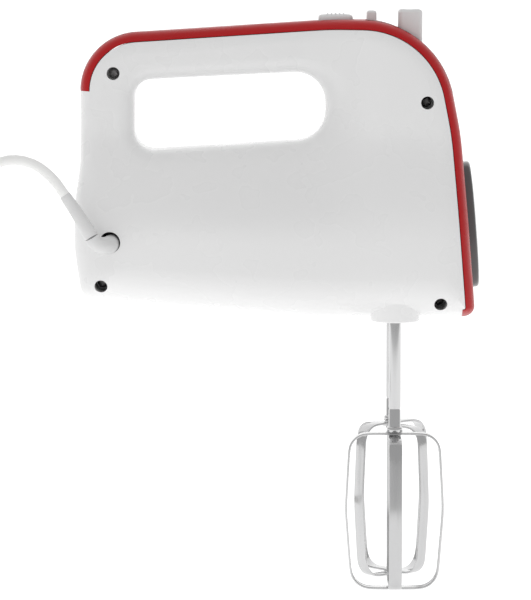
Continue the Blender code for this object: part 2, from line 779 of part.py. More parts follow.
def build_worm(bore):
    """The four-start right-handed worm: a lobed section that twists along the shaft."""
    start, end, slices, around = 74.0, 89.6, 20, 16
    bm = bmesh.new()
    rings = []
    for s in range(slices + 1):
        x = start + (end - start) * s / slices
        row = []
        for k in range(around):
            angle = 2 * pi * k / around
            wave = cos(WORM_STARTS * (angle + 2 * pi * x / WORM_LEAD))
            radius = WORM_RADIUS - WORM_THREAD * (1 - wave)
            y, z = radius * sin(angle), MOTOR_Z + radius * cos(angle)
            row.append(bm.verts.new((x * MM, y * MM, z * MM)))
        rings.append(row)
    for a, b in zip(rings, rings[1:]):
        for k in range(around):
            n = (k + 1) % around
            bm.faces.new((a[k], a[n], b[n], b[k]))
    bm.faces.new(rings[0])
    bm.faces.new(rings[-1])
    worm = add_object("worm", mesh_from(bm, "worm"), STEEL)
    hole = cylinder_mesh("hole", (60, 0, MOTOR_Z), (100, 0, MOTOR_Z), bore, segments=16)
    boolean(worm, add_object("worm_bore", hole))


def build_frames():
    z = MOTOR_Z
    upright = box_mesh("upright", (56, -30, z - 26), (60, 30, z + 26), 0.6, 1)
    shelf = box_mesh("shelf", (58, -33, -102.0), (103, 33, -99.2), 0.6, 1)
    post = box_mesh("post", (99, -8, -101.0), (103, 8, z + 9), 0.6, 1)
    frame = add_object("gear_frame", upright, FRAME_GREY)
    boolean(frame, add_object("gear_shelf", shelf), "UNION")
    boolean(frame, add_object("nose_post", post), "UNION")
    seat = cylinder_mesh("seat", (50, 0, z), (110, 0, z), 5.6)
    boolean(frame, add_object("bearing_seats", seat))
    for side in (-1, 1):
        y = side * BEATER_SPACING / 2
        hole = cylinder_mesh("hole", (BEATER_X, y, -110), (BEATER_X, y, -90), SPINDLE_RADIUS + GAP)
        boolean(frame, add_object(f"spindle_way_{side}", hole))
    ring("front_bearing", SHAFT_RADIUS + 0.1, 5.3, 55.0, 61.0, BRASS)
    ring("nose_bearing", SHAFT_RADIUS + 0.1, 5.3, 98.5, 103.5, BRASS)

    bridge = box_mesh("bridge", (-51, -27, z - 20), (-47, 27, z + 20), 0.6, 1)
    bridge = add_object("rear_bridge", bridge, FRAME_GREY)
    seat = cylinder_mesh("seat", (-60, 0, z), (-40, 0, z), 5.6)
    boolean(bridge, add_object("rear_seat", seat))
    ring("rear_bearing", SHAFT_RADIUS + 0.1, 5.3, -52.0, -46.0, BRASS)
    for name, side in (("right", -1), ("left", 1)):
        low, high = sorted((side * 10.0, side * 24.0))
        holder = add_object(
            name + "_brush_holder", box_mesh("holder", (-38, low, z - 5), (-28, high, z + 5), 0.4, 1), NYLON
        )
        low, high = sorted((side * 5.0, side * 22.0))
        channel = box_mesh("channel", (-36.3, low, z - 3.3), (-29.7, high, z + 3.3))
        boolean(holder, add_object(name + "_brush_channel", channel))
        low, high = sorted((side * 9.3, side * 20.5))
        add_object(name + "_brush", box_mesh("brush", (-36, low, z - 3), (-30, high, z + 3), 0.3, 1), CARBON)


def gear_outline(radius, teeth, depth):
    """Points round a gear, four to a tooth."""
    points = []
    for tooth in range(teeth):
        for share, drop in ((0.0, depth), (0.3, depth), (0.45, 0.0), (0.75, 0.0)):
            angle = 2 * pi * (tooth + share) / teeth
            points.append(((radius - drop) * cos(angle), (radius - drop) * sin(angle)))
    return points


def build_drive(side):
    name = "right" if side < 0 else "left"
    y = side * BEATER_SPACING / 2
    wheel = bpy.data.curves.new(name + "_worm_wheel", "CURVE")
    wheel.dimensions = "2D"
    wheel.fill_mode = "BOTH"
    wheel.extrude = 4.2 * MM
    outline = gear_outline(WHEEL_RADIUS, WHEEL_TEETH, 1.3)
    bore = [
        ((SPINDLE_RADIUS + GAP) * cos(2 * pi * k / 20), (SPINDLE_RADIUS + GAP) * sin(2 * pi * k / 20))
        for k in range(20)
    ]
    for points in (outline, bore):
        spline = wheel.splines.new("POLY")
        spline.points.add(len(points) - 1)
        for point, (px, py) in zip(spline.points, points):
            point.co = (px * MM, py * MM, 0.0, 1.0)
        spline.use_cyclic_u = True
    made = bpy.data.objects.new(name + "_worm_wheel", wheel)
    PARTS.objects.link(made)
    wheel.materials.append(NYLON)
    made.location = Vector((BEATER_X, y, MOTOR_Z)) * MM

    spindle = [
        (SPINDLE_RADIUS, SPINDLE_TOP), (SPINDLE_RADIUS, SPINDLE_BOTTOM),
        (STEM_RADIUS + GAP, SPINDLE_BOTTOM), (STEM_RADIUS + GAP, SPINDLE_TOP),
    ]
    turned(name + "_spindle", spindle, STEEL, (BEATER_X, y, 0), "Z", 20)
    bush = [(8.1, -121.0), (8.1, -130.9), (SPINDLE_RADIUS + GAP, -130.9), (SPINDLE_RADIUS + GAP, -121.0)]
    turned(name + "_bush", bush, BRASS, (BEATER_X, y, 0), "Z", 20)
    top = EJECT_BAR_Z - 1.5 - GAP
    pin = [(0.0, top), (2.7, top), (2.7, STEM_TOP + GAP), (0.0, STEM_TOP + GAP)]
    turned(name + "_ejector_pin", pin, NYLON, (BEATER_X, y, 0), "Z", 14)


# ---------------------------------------------------------------- beaters


def loop_corners(shrink):
    """The beater loop's outline as (x, z, radius), with each side moved in by the same amount."""
    top, bottom = BEATER_TOP - shrink, BEATER_BOTTOM + shrink
    widest = top - 38.0
    return [
        (-22.6 + shrink, top, 9.5 - shrink),
        (22.6 - shrink, top, 9.5 - shrink),
        (24.7 - shrink, widest, 80.0 - shrink),
        (21.6 - shrink, bottom, 10.5 - shrink),
        (-21.6 + shrink, bottom, 10.5 - shrink),
        (-24.7 + shrink, widest, 80.0 - shrink),
    ]


def build_loop(name, side, shrink, turn):
    """A flat steel strip bent into a closed loop, with a hole for the stem's rivet in its top run."""
    curve = bpy.data.curves.new(name, "CURVE")
    curve.dimensions = "2D"
    curve.fill_mode = "BOTH"
    curve.extrude = STRIP_WIDTH / 2 * MM
    for inset in (shrink, shrink + STRIP_THICKNESS):
        points, _ = rounded_outline(loop_corners(inset), steps=6)
        spline = curve.splines.new("POLY")
        spline.points.add(len(points) - 1)
        for point, place in zip(spline.points, points):
            point.co = (place.x * MM, place.y * MM, 0.0, 1.0)
        spline.use_cyclic_u = True
    flat = bpy.data.objects.new(name + "_outline", curve)
    bpy.context.scene.collection.objects.link(flat)
    bpy.context.view_layer.update()
    mesh = bpy.data.meshes.new_from_object(flat.evaluated_get(bpy.context.evaluated_depsgraph_get()))
    bpy.data.objects.remove(flat)
    bm = bmesh.new()
    bm.from_mesh(mesh)
    bmesh.ops.remove_doubles(bm, verts=bm.verts, dist=0.000001)
    place = Matrix.Translation(Vector((BEATER_X, side * BEATER_SPACING / 2, 0)) * MM)
    turned_up = Matrix.Rotation(turn, 4, "Z") @ Matrix.Rotation(pi / 2, 4, "X")
    bmesh.ops.transform(bm, matrix=place @ turned_up, verts=bm.verts)
    made = add_object(name, mesh_from(bm, name), STEEL)
    y = side * BEATER_SPACING / 2
    hole = cylinder_mesh("hole", (BEATER_X, y, BEATER_TOP - 8), (BEATER_X, y, BEATER_TOP + 8), 1.9, segments=12)
    boolean(made, add_object(name + "_hole", hole))


def build_beater(side):
    name = "right" if side < 0 else "left"
    turn = 0.0 if side < 0 else pi / 4
    inner = STRIP_THICKNESS + GAP
    build_loop(name + "_beater_outer_loop", side, 0.0, turn)
    build_loop(name + "_beater_inner_loop", side, inner, turn + pi / 2)
    below = BEATER_TOP - inner - STRIP_THICKNESS
    profile = [
        (0.0, STEM_TOP), (STEM_RADIUS - 0.8, STEM_TOP), (STEM_RADIUS, STEM_TOP - 1.2),
        (STEM_RADIUS, BEATER_TOP + 3.0), (4.0, BEATER_TOP + 2.4), (4.0, BEATER_TOP + GAP),
        (1.6, BEATER_TOP + GAP), (1.6, below - GAP), (3.2, below - GAP), (2.4, below - 1.8), (0.0, below - 2.1),
    ]
    turned(name + "_beater_stem", profile, STEEL, (BEATER_X, side * BEATER_SPACING / 2, 0), "Z", 18)


# ---------------------------------------------------------------- screws


def build_screw(name, x, z):
    top = COUNTERBORE_FLOOR - GAP
    profile = [(0.0, -top + 2.0), (2.7, -top + 1.6), (2.7, -top), (1.5, -top), (1.5, -7.5), (0.0, -8.2)]
    screw = turned(name + "_screw", profile, SCREW_STEEL, (x, 0, z), "Y", 14)
    screw.rotation_euler = (pi / 2, 0.0, 0.0)
    cross = box_mesh(
        "slot", (x - 1.8, top - 3.0, z - 0.45), (x + 1.8, top - 1.1, z + 0.45)
    )
    boolean(screw, add_object(name + "_slot", cross))


# ---------------------------------------------------------------- mains lead


def build_lead():
    tube("lead_elbow", smooth_through(ELBOW_ROUTE, 3.0), 4.4, LEAD, 2)
    route = smooth_through(BOOT_ROUTE, 2.5)
    radii = [1.0 - 0.22 * k / (len(route) - 1) for k in range(len(route))]
    tube("strain_relief", route, 3.5, LEAD, 2, radii)
    tube("mains_lead", smooth_through(CORD_ROUTE, 8.0), CORD_RADIUS, LEAD_WHITE, 2)
    clamp = box_mesh("clamp", (-64.4, -25.0, -99.0), (-52.2, -22.0, -88.0), 0.5, 1)
    add_object("cord_clamp", clamp, FRAME_GREY)

    x, y = COIL_CENTRE
    inner, outer = COIL_RADIUS - COIL_HALF_WIDTH, COIL_RADIUS + COIL_HALF_WIDTH
    low, high = FLOOR + TIE_THICKNESS + GAP, FLOOR + TIE_THICKNESS + GAP + COIL_HEIGHT
    profile = [
        (outer - 2, high), (outer, high - 2), (outer, low + 2), (outer - 2, low),
        (inner + 2, low), (inner, low + 2), (inner, high - 2), (inner + 2, high),
    ]
    turned("lead_coil", profile, LEAD_WHITE, (x, y, 0), "Z", 36)
    near, far = y - outer - GAP, y - inner + GAP
    rim = TIE_THICKNESS
    band = box_mesh("band", (x - 2, near - rim, FLOOR), (x + 2, far + rim, high + GAP + rim), 0.3, 1)
    tie = add_object("lead_tie", band, LEAD)
    inside = box_mesh("inside", (x - 5, near, low - GAP), (x + 5, far, high + GAP))
    boolean(tie, add_object("tie_inside", inside))

    plug_x = x - COIL_RADIUS - COIL_HALF_WIDTH - GAP - CORD_RADIUS
    relief = [(0.0, 15.0), (4.2, 15.0), (2.7, 0.0), (0.0, 0.0)]
    made = turned("plug_relief", relief, LEAD_WHITE, (plug_x, y, FLOOR + 5.0), "Y", 14)
    made.rotation_euler = (pi / 2, 0.0, 0.0)
    start = y - 15.0 - GAP
    body = box_mesh("plug", (plug_x - 6.8, start - 34, FLOOR), (plug_x + 6.8, start, FLOOR + 12.5), 2.4, 2)
    add_object("plug_body", body, LEAD_WHITE)
    for name, side in (("right_plug_pin", -1), ("left_plug_pin", 1)):
        px = plug_x + side * 4.6
        tip = start - 34 - GAP
        pin = cylinder_mesh("pin", (px, tip, FLOOR + 6.2), (px, tip - 19, FLOOR + 6.2), 2.0, segments=12)
        add_object(name, pin, STEEL)


TRIM_ZONE = trim_zone()
build_trim_cover()
build_front_panel()
build_controls()
build_decks()
build_stator()
build_armature()
build_frames()
for way in (-1, 1):
    build_shell(way)
    build_drive(way)
    build_beater(way)
for place_name, (screw_x, screw_z) in SCREW_PLACES.items():
    build_screw(place_name, screw_x, screw_z)
build_lead()
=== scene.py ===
"""The looks of the hand mixer: fine shells, controls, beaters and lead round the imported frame."""
import json
from math import atan2, ceil, cos, pi, radians, sin, sqrt, tan

import bmesh
import bpy
import numpy as np
from mathutils import Matrix, Vector


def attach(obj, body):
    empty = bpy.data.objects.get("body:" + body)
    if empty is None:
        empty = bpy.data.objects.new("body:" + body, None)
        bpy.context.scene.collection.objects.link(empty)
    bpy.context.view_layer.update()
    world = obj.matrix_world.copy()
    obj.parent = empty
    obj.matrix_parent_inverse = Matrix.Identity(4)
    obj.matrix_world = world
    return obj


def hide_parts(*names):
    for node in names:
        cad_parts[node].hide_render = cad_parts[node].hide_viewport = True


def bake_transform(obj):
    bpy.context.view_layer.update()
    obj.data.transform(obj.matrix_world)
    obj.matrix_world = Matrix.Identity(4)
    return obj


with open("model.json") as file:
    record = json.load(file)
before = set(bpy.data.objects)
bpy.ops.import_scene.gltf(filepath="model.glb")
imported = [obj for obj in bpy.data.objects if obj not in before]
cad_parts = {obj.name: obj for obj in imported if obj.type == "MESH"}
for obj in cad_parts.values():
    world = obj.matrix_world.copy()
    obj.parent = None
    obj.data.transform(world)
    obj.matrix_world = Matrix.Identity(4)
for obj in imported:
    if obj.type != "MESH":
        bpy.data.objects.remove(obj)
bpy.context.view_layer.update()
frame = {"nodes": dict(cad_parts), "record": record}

MM = 0.001
GAP = 0.3
FLOOR = -267.0
HOUSING = "housing"


def mm(point):
    return Vector(point) * MM


# ---------------------------------------------------------------- camera, light and floor

AIM = (17.75, 0.0, -125.0)
CAMERA_DISTANCE = 1800.0
CAMERA_ELEVATION = radians(5.4)
CAMERA_AZIMUTH = radians(0.3)
CAMERA_LENS = 216.0


def add_camera():
    back = Vector(
        (
            sin(CAMERA_AZIMUTH) * cos(CAMERA_ELEVATION),
            -cos(CAMERA_AZIMUTH) * cos(CAMERA_ELEVATION),
            sin(CAMERA_ELEVATION),
        )
    )
    data = bpy.data.cameras.new("camera")
    data.lens = CAMERA_LENS
    data.sensor_width = 36.0
    data.clip_start = 0.05
    data.clip_end = 60.0
    camera = bpy.data.objects.new("camera", data)
    bpy.context.scene.collection.objects.link(camera)
    camera.location = mm(AIM) + back * CAMERA_DISTANCE * MM
    camera.rotation_euler = back.to_track_quat("Z", "Y").to_euler()
    bpy.context.scene.camera = camera


def add_area(name, place, size, power):
    """A soft light that faces the mixer and doesn't show in polished surfaces."""
    data = bpy.data.lights.new(name, "AREA")
    data.shape = "RECTANGLE"
    data.size, data.size_y = size
    data.energy = power
    light = bpy.data.objects.new(name, data)
    bpy.context.scene.collection.objects.link(light)
    light.location = Vector(place)
    toward = mm(AIM) - light.location
    light.rotation_euler = toward.to_track_quat("-Z", "Y").to_euler()
    light.visible_glossy = False


def dim_floor_in_front(tree, socket):
    """Dims the floor's glow in front of the mixer's near side, where its steel mirrors the floor."""
    place = tree.nodes.new("ShaderNodeNewGeometry")
    parts = tree.nodes.new("ShaderNodeSeparateXYZ")
    ramp = tree.nodes.new("ShaderNodeMapRange")
    ramp.inputs["From Min"].default_value = -0.9
    ramp.inputs["From Max"].default_value = -0.2
    ramp.inputs["To Min"].default_value = 0.32
    ramp.inputs["To Max"].default_value = 0.9
    tree.links.new(place.outputs["Position"], parts.inputs["Vector"])
    tree.links.new(parts.outputs["Y"], ramp.inputs["Value"])
    tree.links.new(ramp.outputs["Result"], socket)


def add_studio():
    """A white surround: the world, a floor that curves up into a backdrop, and two soft lights."""
    scene = bpy.context.scene
    scene.view_settings.view_transform = "Standard"
    world = bpy.data.worlds.new("studio")
    world.use_nodes = True
    world.node_tree.nodes["Background"].inputs["Color"].default_value = (1.0, 1.0, 1.0, 1.0)
    world.node_tree.nodes["Background"].inputs["Strength"].default_value = 0.58
    scene.world = world
    add_area("front_softbox", (-0.55, -1.9, -0.25), (1.1, 1.1), 8.0)
    add_area("top_softbox", (-0.2, -0.3, 1.3), (1.2, 0.8), 3.0)

    bm = bmesh.new()
    profile = [(-14.0, 0.0), (4.0, 0.0)]
    bend = 3.0
    for k in range(1, 17):
        angle = pi / 2 * k / 16
        profile.append((4.0 + bend * sin(angle), bend * (1 - cos(angle))))
    profile.append((7.0, 16.0))
    rows = [[bm.verts.new((x, y, z)) for x in (-14.0, 14.0)] for y, z in profile]
    for a, b in zip(rows, rows[1:]):
        bm.faces.new((a[0], a[1], b[1], b[0]))
    mesh = bpy.data.meshes.new("floor")
    bm.to_mesh(mesh)
    bm.free()
    mesh.shade_smooth()
    floor = bpy.data.objects.new("floor", mesh)
    scene.collection.objects.link(floor)
    floor.location = (0.0, 0.0, (FLOOR - 0.9) * MM)
    made = bpy.data.materials.new("floor")
    made.use_nodes = True
    shader = made.node_tree.nodes["Principled BSDF"]
    shader.inputs["Base Color"].default_value = (0.4, 0.4, 0.4, 1.0)
    shader.inputs["Roughness"].default_value = 0.9
    shader.inputs["Emission Color"].default_value = (1.0, 1.0, 1.0, 1.0)
    dim_floor_in_front(made.node_tree, shader.inputs["Emission Strength"])
    mesh.materials.append(made)


add_camera()
add_studio()


# ---------------------------------------------------------------- materials


class Paint:
    """A procedural material: a Principled shader whose colour, roughness and bump vary over the surface."""

    def __init__(self, name, colour, roughness, metallic=0.0):
        self.material = bpy.data.materials.new(name)
        self.material.use_nodes = True
        self.tree = self.material.node_tree
        self.shader = self.tree.nodes["Principled BSDF"]
        self.shader.inputs["Metallic"].default_value = metallic
        self.coordinates = self.node("ShaderNodeTexCoord").outputs["Object"]
        self.colour = colour
        self.roughness = roughness
        self.normal = None

    def node(self, kind, **settings):
        made = self.tree.nodes.new(kind)
        for key, value in settings.items():
            setattr(made, key, value)
        return made

    def noise(self, scale, detail=3.0, stretch=(1.0, 1.0, 1.0)):
        mapping = self.node("ShaderNodeMapping")
        mapping.inputs["Scale"].default_value = stretch
        self.tree.links.new(self.coordinates, mapping.inputs["Vector"])
        texture = self.node("ShaderNodeTexNoise")
        texture.inputs["Scale"].default_value = scale
        texture.inputs["Detail"].default_value = detail
        self.tree.links.new(mapping.outputs["Vector"], texture.inputs["Vector"])
        return texture.outputs["Fac"]

    def spread(self, factor, low, high):
        """Turns a factor that mostly lies near 0.5 into a value between low and high."""
        ramp = self.node("ShaderNodeMapRange", interpolation_type="SMOOTHSTEP")
        ramp.inputs["From Min"].default_value = 0.3
        ramp.inputs["From Max"].default_value = 0.7
        ramp.inputs["To Min"].default_value = low
        ramp.inputs["To Max"].default_value = high
        self.tree.links.new(factor, ramp.inputs["Value"])
        return ramp.outputs["Result"]

    def vary_colour(self, scale, amount, stretch=(1.0, 1.0, 1.0)):
        mix = self.node("ShaderNodeMix", data_type="RGBA")
        dark = [c * (1 - amount) for c in self.colour]
        light = [min(1.0, c * (1 + amount)) for c in self.colour]
        mix.inputs["A"].default_value = (*dark, 1.0)
        mix.inputs["B"].default_value = (*light, 1.0)
        self.tree.links.new(self.spread(self.noise(scale, 2.0, stretch), 0.0, 1.0), mix.inputs["Factor"])
        self.tree.links.new(mix.outputs["Result"], self.shader.inputs["Base Color"])

    def vary_roughness(self, scale, amount, stretch=(1.0, 1.0, 1.0)):
        low, high = self.roughness - amount, self.roughness + amount
        value = self.spread(self.noise(scale, 2.0, stretch), max(low, 0.02), high)
        self.tree.links.new(value, self.shader.inputs["Roughness"])

    def bump(self, height, distance, strength=1.0):
        made = self.node("ShaderNodeBump")
        made.inputs["Strength"].default_value = strength
        made.inputs["Distance"].default_value = distance
        self.tree.links.new(height, made.inputs["Height"])
        if self.normal is not None:
            self.tree.links.new(self.normal, made.inputs["Normal"])
        self.normal = made.outputs["Normal"]
        self.tree.links.new(self.normal, self.shader.inputs["Normal"])


def moulded(name, colour, roughness, coat=0.0, grain=0.000012, tint=0.02, shine=0.5, subsurface=0.0):
    """Injection-moulded plastic: slight flow waves, fine grain and uneven gloss."""
    paint = Paint(name, colour, roughness)
    paint.vary_colour(9.0, tint)
    paint.vary_roughness(55.0, roughness * 0.25)
    paint.bump(paint.noise(14.0, 2.0), 0.0001, 0.35)
    paint.bump(paint.noise(2600.0, 2.0), grain, 0.5)
    paint.shader.inputs["IOR"].default_value = 1.5
    paint.shader.inputs["Specular IOR Level"].default_value = shine
    paint.shader.inputs["Coat Weight"].default_value = coat
    paint.shader.inputs["Coat Roughness"].default_value = 0.06
    if subsurface:
        paint.shader.inputs["Subsurface Weight"].default_value = subsurface
        paint.shader.inputs["Subsurface Radius"].default_value = (0.002, 0.002, 0.002)
    return paint.material


STREAK_SCALE = 900.0


def metal(name, colour, roughness, stretch=(1.0, 1.0, 1.0)):
    """Worked metal: drawn or turned streaks in colour, gloss and height."""
    paint = Paint(name, colour, roughness, 1.0)
    paint.vary_colour(60.0, 0.06, stretch)
    paint.vary_roughness(STREAK_SCALE * 0.4, roughness * 0.4, stretch)
    paint.bump(paint.noise(STREAK_SCALE, 3.0, stretch), 0.00002, 0.4)
    return paint.material


def winding(name, colour):
    """Enamelled wire laid side by side."""
    paint = Paint(name, colour, 0.3, 0.85)
    wave = paint.node("ShaderNodeTexWave", wave_type="BANDS", bands_direction="DIAGONAL")
    wave.inputs["Scale"].default_value = 420.0
    wave.inputs["Distortion"].default_value = 0.6
    paint.tree.links.new(paint.coordinates, wave.inputs["Vector"])
    paint.vary_colour(120.0, 0.2)
    paint.vary_roughness(200.0, 0.08)
    paint.bump(wave.outputs["Fac"], 0.0003, 0.8)
    return paint.material


def laminated(name):
    """Stamped steel sheets stacked along X."""
    paint = Paint(name, (0.17, 0.17, 0.18), 0.45, 0.9)
    wave = paint.node("ShaderNodeTexWave", wave_type="BANDS", bands_direction="X")
    wave.inputs["Scale"].default_value = 320.0
    paint.tree.links.new(paint.coordinates, wave.inputs["Vector"])
    paint.vary_colour(80.0, 0.15)
    paint.vary_roughness(150.0, 0.1)
    paint.bump(wave.outputs["Fac"], 0.0002, 0.9)
    return paint.material


def sheathed(name, colour, roughness):
    """Soft extruded plastic of a lead, with faint draw lines and a dull bloom."""
    paint = Paint(name, colour, roughness)
    paint.vary_colour(70.0, 0.03)
    paint.vary_roughness(240.0, 0.08)
    paint.bump(paint.noise(1500.0, 3.0), 0.00003, 0.5)
    paint.shader.inputs["Subsurface Weight"].default_value = 0.05
    paint.shader.inputs["Subsurface Radius"].default_value = (0.001, 0.001, 0.001)
    return paint.material


WHITE = moulded("white_shell", (0.79, 0.79, 0.79), 0.3, coat=0.25, grain=0.000003, tint=0.008)
RED = moulded("red_trim", (0.41, 0.010, 0.012), 0.32, coat=0.03, tint=0.05, shine=0.14)
BLACK = moulded("black_gloss", (0.010, 0.009, 0.010), 0.10, coat=0.8, grain=0.000004, tint=0.1)
SMOKE = moulded("smoke_bezel", (0.08, 0.078, 0.08), 0.2, coat=0.4, tint=0.06)
GREY = moulded("grey_control", (0.69, 0.69, 0.69), 0.42, grain=0.00003, tint=0.02)
STEEL = metal("bright_steel", (0.55, 0.55, 0.553), 0.16, stretch=(1.0, 1.0, 0.08))
SCREW = metal("screw_steel", (0.30, 0.29, 0.29), 0.42)
BRASS = metal("bearing_brass", (0.60, 0.42, 0.17), 0.3)
IRON = laminated("core_iron")
COPPER = winding("copper_winding", (0.50, 0.17, 0.06))
NYLON = moulded("gear_nylon", (0.72, 0.69, 0.58), 0.45, subsurface=0.1)
FRAME = moulded("frame_plastic", (0.045, 0.045, 0.048), 0.5, grain=0.00004, tint=0.08)
CARBON = moulded("brush_carbon", (0.015, 0.015, 0.015), 0.7, grain=0.00005, tint=0.2)
BOARD = moulded("switch_board", (0.02, 0.10, 0.05), 0.4, tint=0.12)
LEAD_GREY = sheathed("lead_grey", (0.67, 0.67, 0.67), 0.42)
LEAD_WHITE = sheathed("lead_white", (0.86, 0.86, 0.85), 0.4)

SLOT_MATERIALS = {
    "white_shell": WHITE,
    "red_trim": RED,
    "black_gloss": BLACK,
    "grey_control": GREY,
    "screw_steel": SCREW,
    "lead_grey": LEAD_GREY,
    "lead_white": LEAD_WHITE,
    "core_iron": IRON,
    "copper_winding": COPPER,
    "bearing_brass": BRASS,
    "gear_nylon": NYLON,
    "frame_plastic": FRAME,
    "brush_carbon": CARBON,
    "switch_board": BOARD,
    "bright_steel": STEEL,
}


def dress_carried_nodes():
    """Gives each CAD node that stays in view the material of its slot."""
    slots = {entry["node"]: entry["material_slot"] for entry in frame["record"]["subparts"]}
    for name, node in frame["nodes"].items():
        material = SLOT_MATERIALS.get(slots[name])
        if material is None:
            continue
        for holder in node.material_slots:
            holder.material = material


dress_carried_nodes()


# ---------------------------------------------------------------- mesh helpers


def place_piece(name, mesh, material, body, nodes=(), sharp=35):
    """Links a mesh as a piece that rides on a body and may stand for CAD nodes."""
    piece = bpy.data.objects.new(name, mesh)
    bpy.context.scene.collection.objects.link(piece)
    mesh.materials.clear()
    mesh.materials.append(material)
    mesh.shade_smooth()
    mesh.set_sharp_from_angle(angle=radians(sharp))
    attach(piece, body)
    if nodes:
        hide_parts(*nodes)
    return piece


def finished(bm, name):
    bmesh.ops.recalc_face_normals(bm, faces=bm.faces[:])
    mesh = bpy.data.meshes.new(name)
    bm.to_mesh(mesh)
    bm.free()
    return mesh


def loft(rings, closed=False):
    """A bmesh skin over closed rings of points in millimetres, capped at both ends unless it is closed."""
    bm = bmesh.new()
    made = [[bm.verts.new(mm(p)) for p in ring] for ring in rings]
    pairs = list(zip(made, made[1:]))
    if closed:
        pairs.append((made[-1], made[0]))
    for a, b in pairs:
        for k in range(len(a)):
            n = (k + 1) % len(a)
            bm.faces.new((a[k], a[n], b[n], b[k]))
    if not closed:
        bm.faces.new(made[0])
        bm.faces.new(made[-1])
    return bm


def rounded_rectangle(half_x, half_y, corner, radius, steps):
    """Points around a rectangle, with an arc at each corner round a centre that lies one corner size in."""
    points = []
    for side_x, side_y, quarter in ((1, 1, 0), (-1, 1, 1), (-1, -1, 2), (1, -1, 3)):
        x, y = side_x * (half_x - corner), side_y * (half_y - corner)
        for step in range(steps + 1):
            angle = pi / 2 * (quarter + step / steps)
            points.append((x + radius * cos(angle), y + radius * sin(angle)))
    return points


def turned_mesh(name, profile, origin, direction, steps=48):
    """A solid of revolution from a (radius, run) profile that ends on the axis or closes on itself."""
    direction = Vector(direction).normalized()
    turn = direction.to_track_quat("Z", "Y")
    on_axis = profile[0][0] == 0.0 and profile[-1][0] == 0.0
    bm = bmesh.new()
    rings = []
    for radius, run in profile:
        if radius == 0.0:
            rings.append([bm.verts.new(mm(Vector(origin) + direction * run))])
            continue
        ring = []
        for k in range(steps):
            angle = 2 * pi * k / steps
            offset = turn @ Vector((radius * cos(angle), radius * sin(angle), run))
            ring.append(bm.verts.new(mm(Vector(origin) + offset)))
        rings.append(ring)
    pairs = list(zip(rings, rings[1:]))
    if not on_axis:
        pairs.append((rings[-1], rings[0]))
    for a, b in pairs:
        for k in range(steps):
            n = (k + 1) % steps
            corners = [a[k % len(a)], a[n % len(a)], b[n % len(b)], b[k % len(b)]]
            unique = list(dict.fromkeys(corners))
            if len(unique) > 2:
                bm.faces.new(unique)
    return finished(bm, name)


def box_bm(low, high, bevel=0.0):
    bm = bmesh.new()
    size = [b - a for a, b in zip(low, high)]
    middle = [(a + b) / 2 for a, b in zip(low, high)]
    bmesh.ops.create_cube(bm, size=1.0)
    bmesh.ops.scale(bm, vec=mm(size), verts=bm.verts)
    bmesh.ops.translate(bm, vec=mm(middle), verts=bm.verts)
    if bevel:
        bmesh.ops.bevel(bm, geom=bm.edges[:], offset=bevel * MM, segments=3, profile=0.5, affect="EDGES")
    return bm


def bar_between(start, end, radius, steps=32):
    start, end = Vector(start), Vector(end)
    length = (end - start).length
    profile = [(0.0, 0.0), (radius, 0.0), (radius, length), (0.0, length)]
    return turned_mesh("cutter", profile, start, end - start, steps)


def cut(piece, tools, operation="DIFFERENCE"):
    """Applies booleans with throw-away tool meshes."""
    helpers = []
    for mesh in tools:
        helper = bpy.data.objects.new("tool", mesh)
        bpy.context.scene.collection.objects.link(helper)
        helpers.append(helper)
        step = piece.modifiers.new("cut", "BOOLEAN")
        step.operation = operation
        step.object = helper
    bake_modifiers(piece)
    for helper in helpers:
        mesh = helper.data
        bpy.data.objects.remove(helper)
        bpy.data.meshes.remove(mesh)


def bake_modifiers(piece):
    bpy.context.view_layer.update()
    graph = bpy.context.evaluated_depsgraph_get()
    mesh = bpy.data.meshes.new_from_object(piece.evaluated_get(graph))
    piece.modifiers.clear()
    piece.data = mesh


def reshade(piece, sharp=35):
    piece.data.shade_smooth()
    piece.data.set_sharp_from_angle(angle=radians(sharp))


def smooth_through(points, spacing):
    """Points about one spacing apart on a smooth curve through the given ones."""
    padded = [points[0], *points, points[-1]]
    found = []
    for before, a, b, after in zip(padded, padded[1:], padded[2:], padded[3:]):
        p0, p1, p2, p3 = (Vector(p) for p in (before, a, b, after))
        count = max(1, round((p2 - p1).length / spacing))
        for step in range(count):
            t = step / count
            found.append(
                0.5 * (2 * p1 + (p2 - p0) * t + (2 * p0 - 5 * p1 + 4 * p2 - p3) * t**2)
                + 0.5 * (3 * p1 - p0 - 3 * p2 + p3) * t**3
            )
    return [*found, Vector(points[-1])]


def tube_rings(path, radii, steps=20):
    """Round sections square to a path, without twist."""
    rings = []
    up = Vector((0.0, 0.0, 1.0))
    for k, place in enumerate(path):
        along = (path[min(k + 1, len(path) - 1)] - path[max(k - 1, 0)]).normalized()
        side = along.cross(up)
        if side.length < 0.05:
            side = along.cross(Vector((0.0, 1.0, 0.0)))
        side.normalize()
        up = side.cross(along).normalized()
        radius = radii[k]
        rings.append(
            [
                place + (side * cos(2 * pi * n / steps) + up * sin(2 * pi * n / steps)) * radius
                for n in range(steps)
            ]
        )
    return rings


# ---------------------------------------------------------------- mains lead

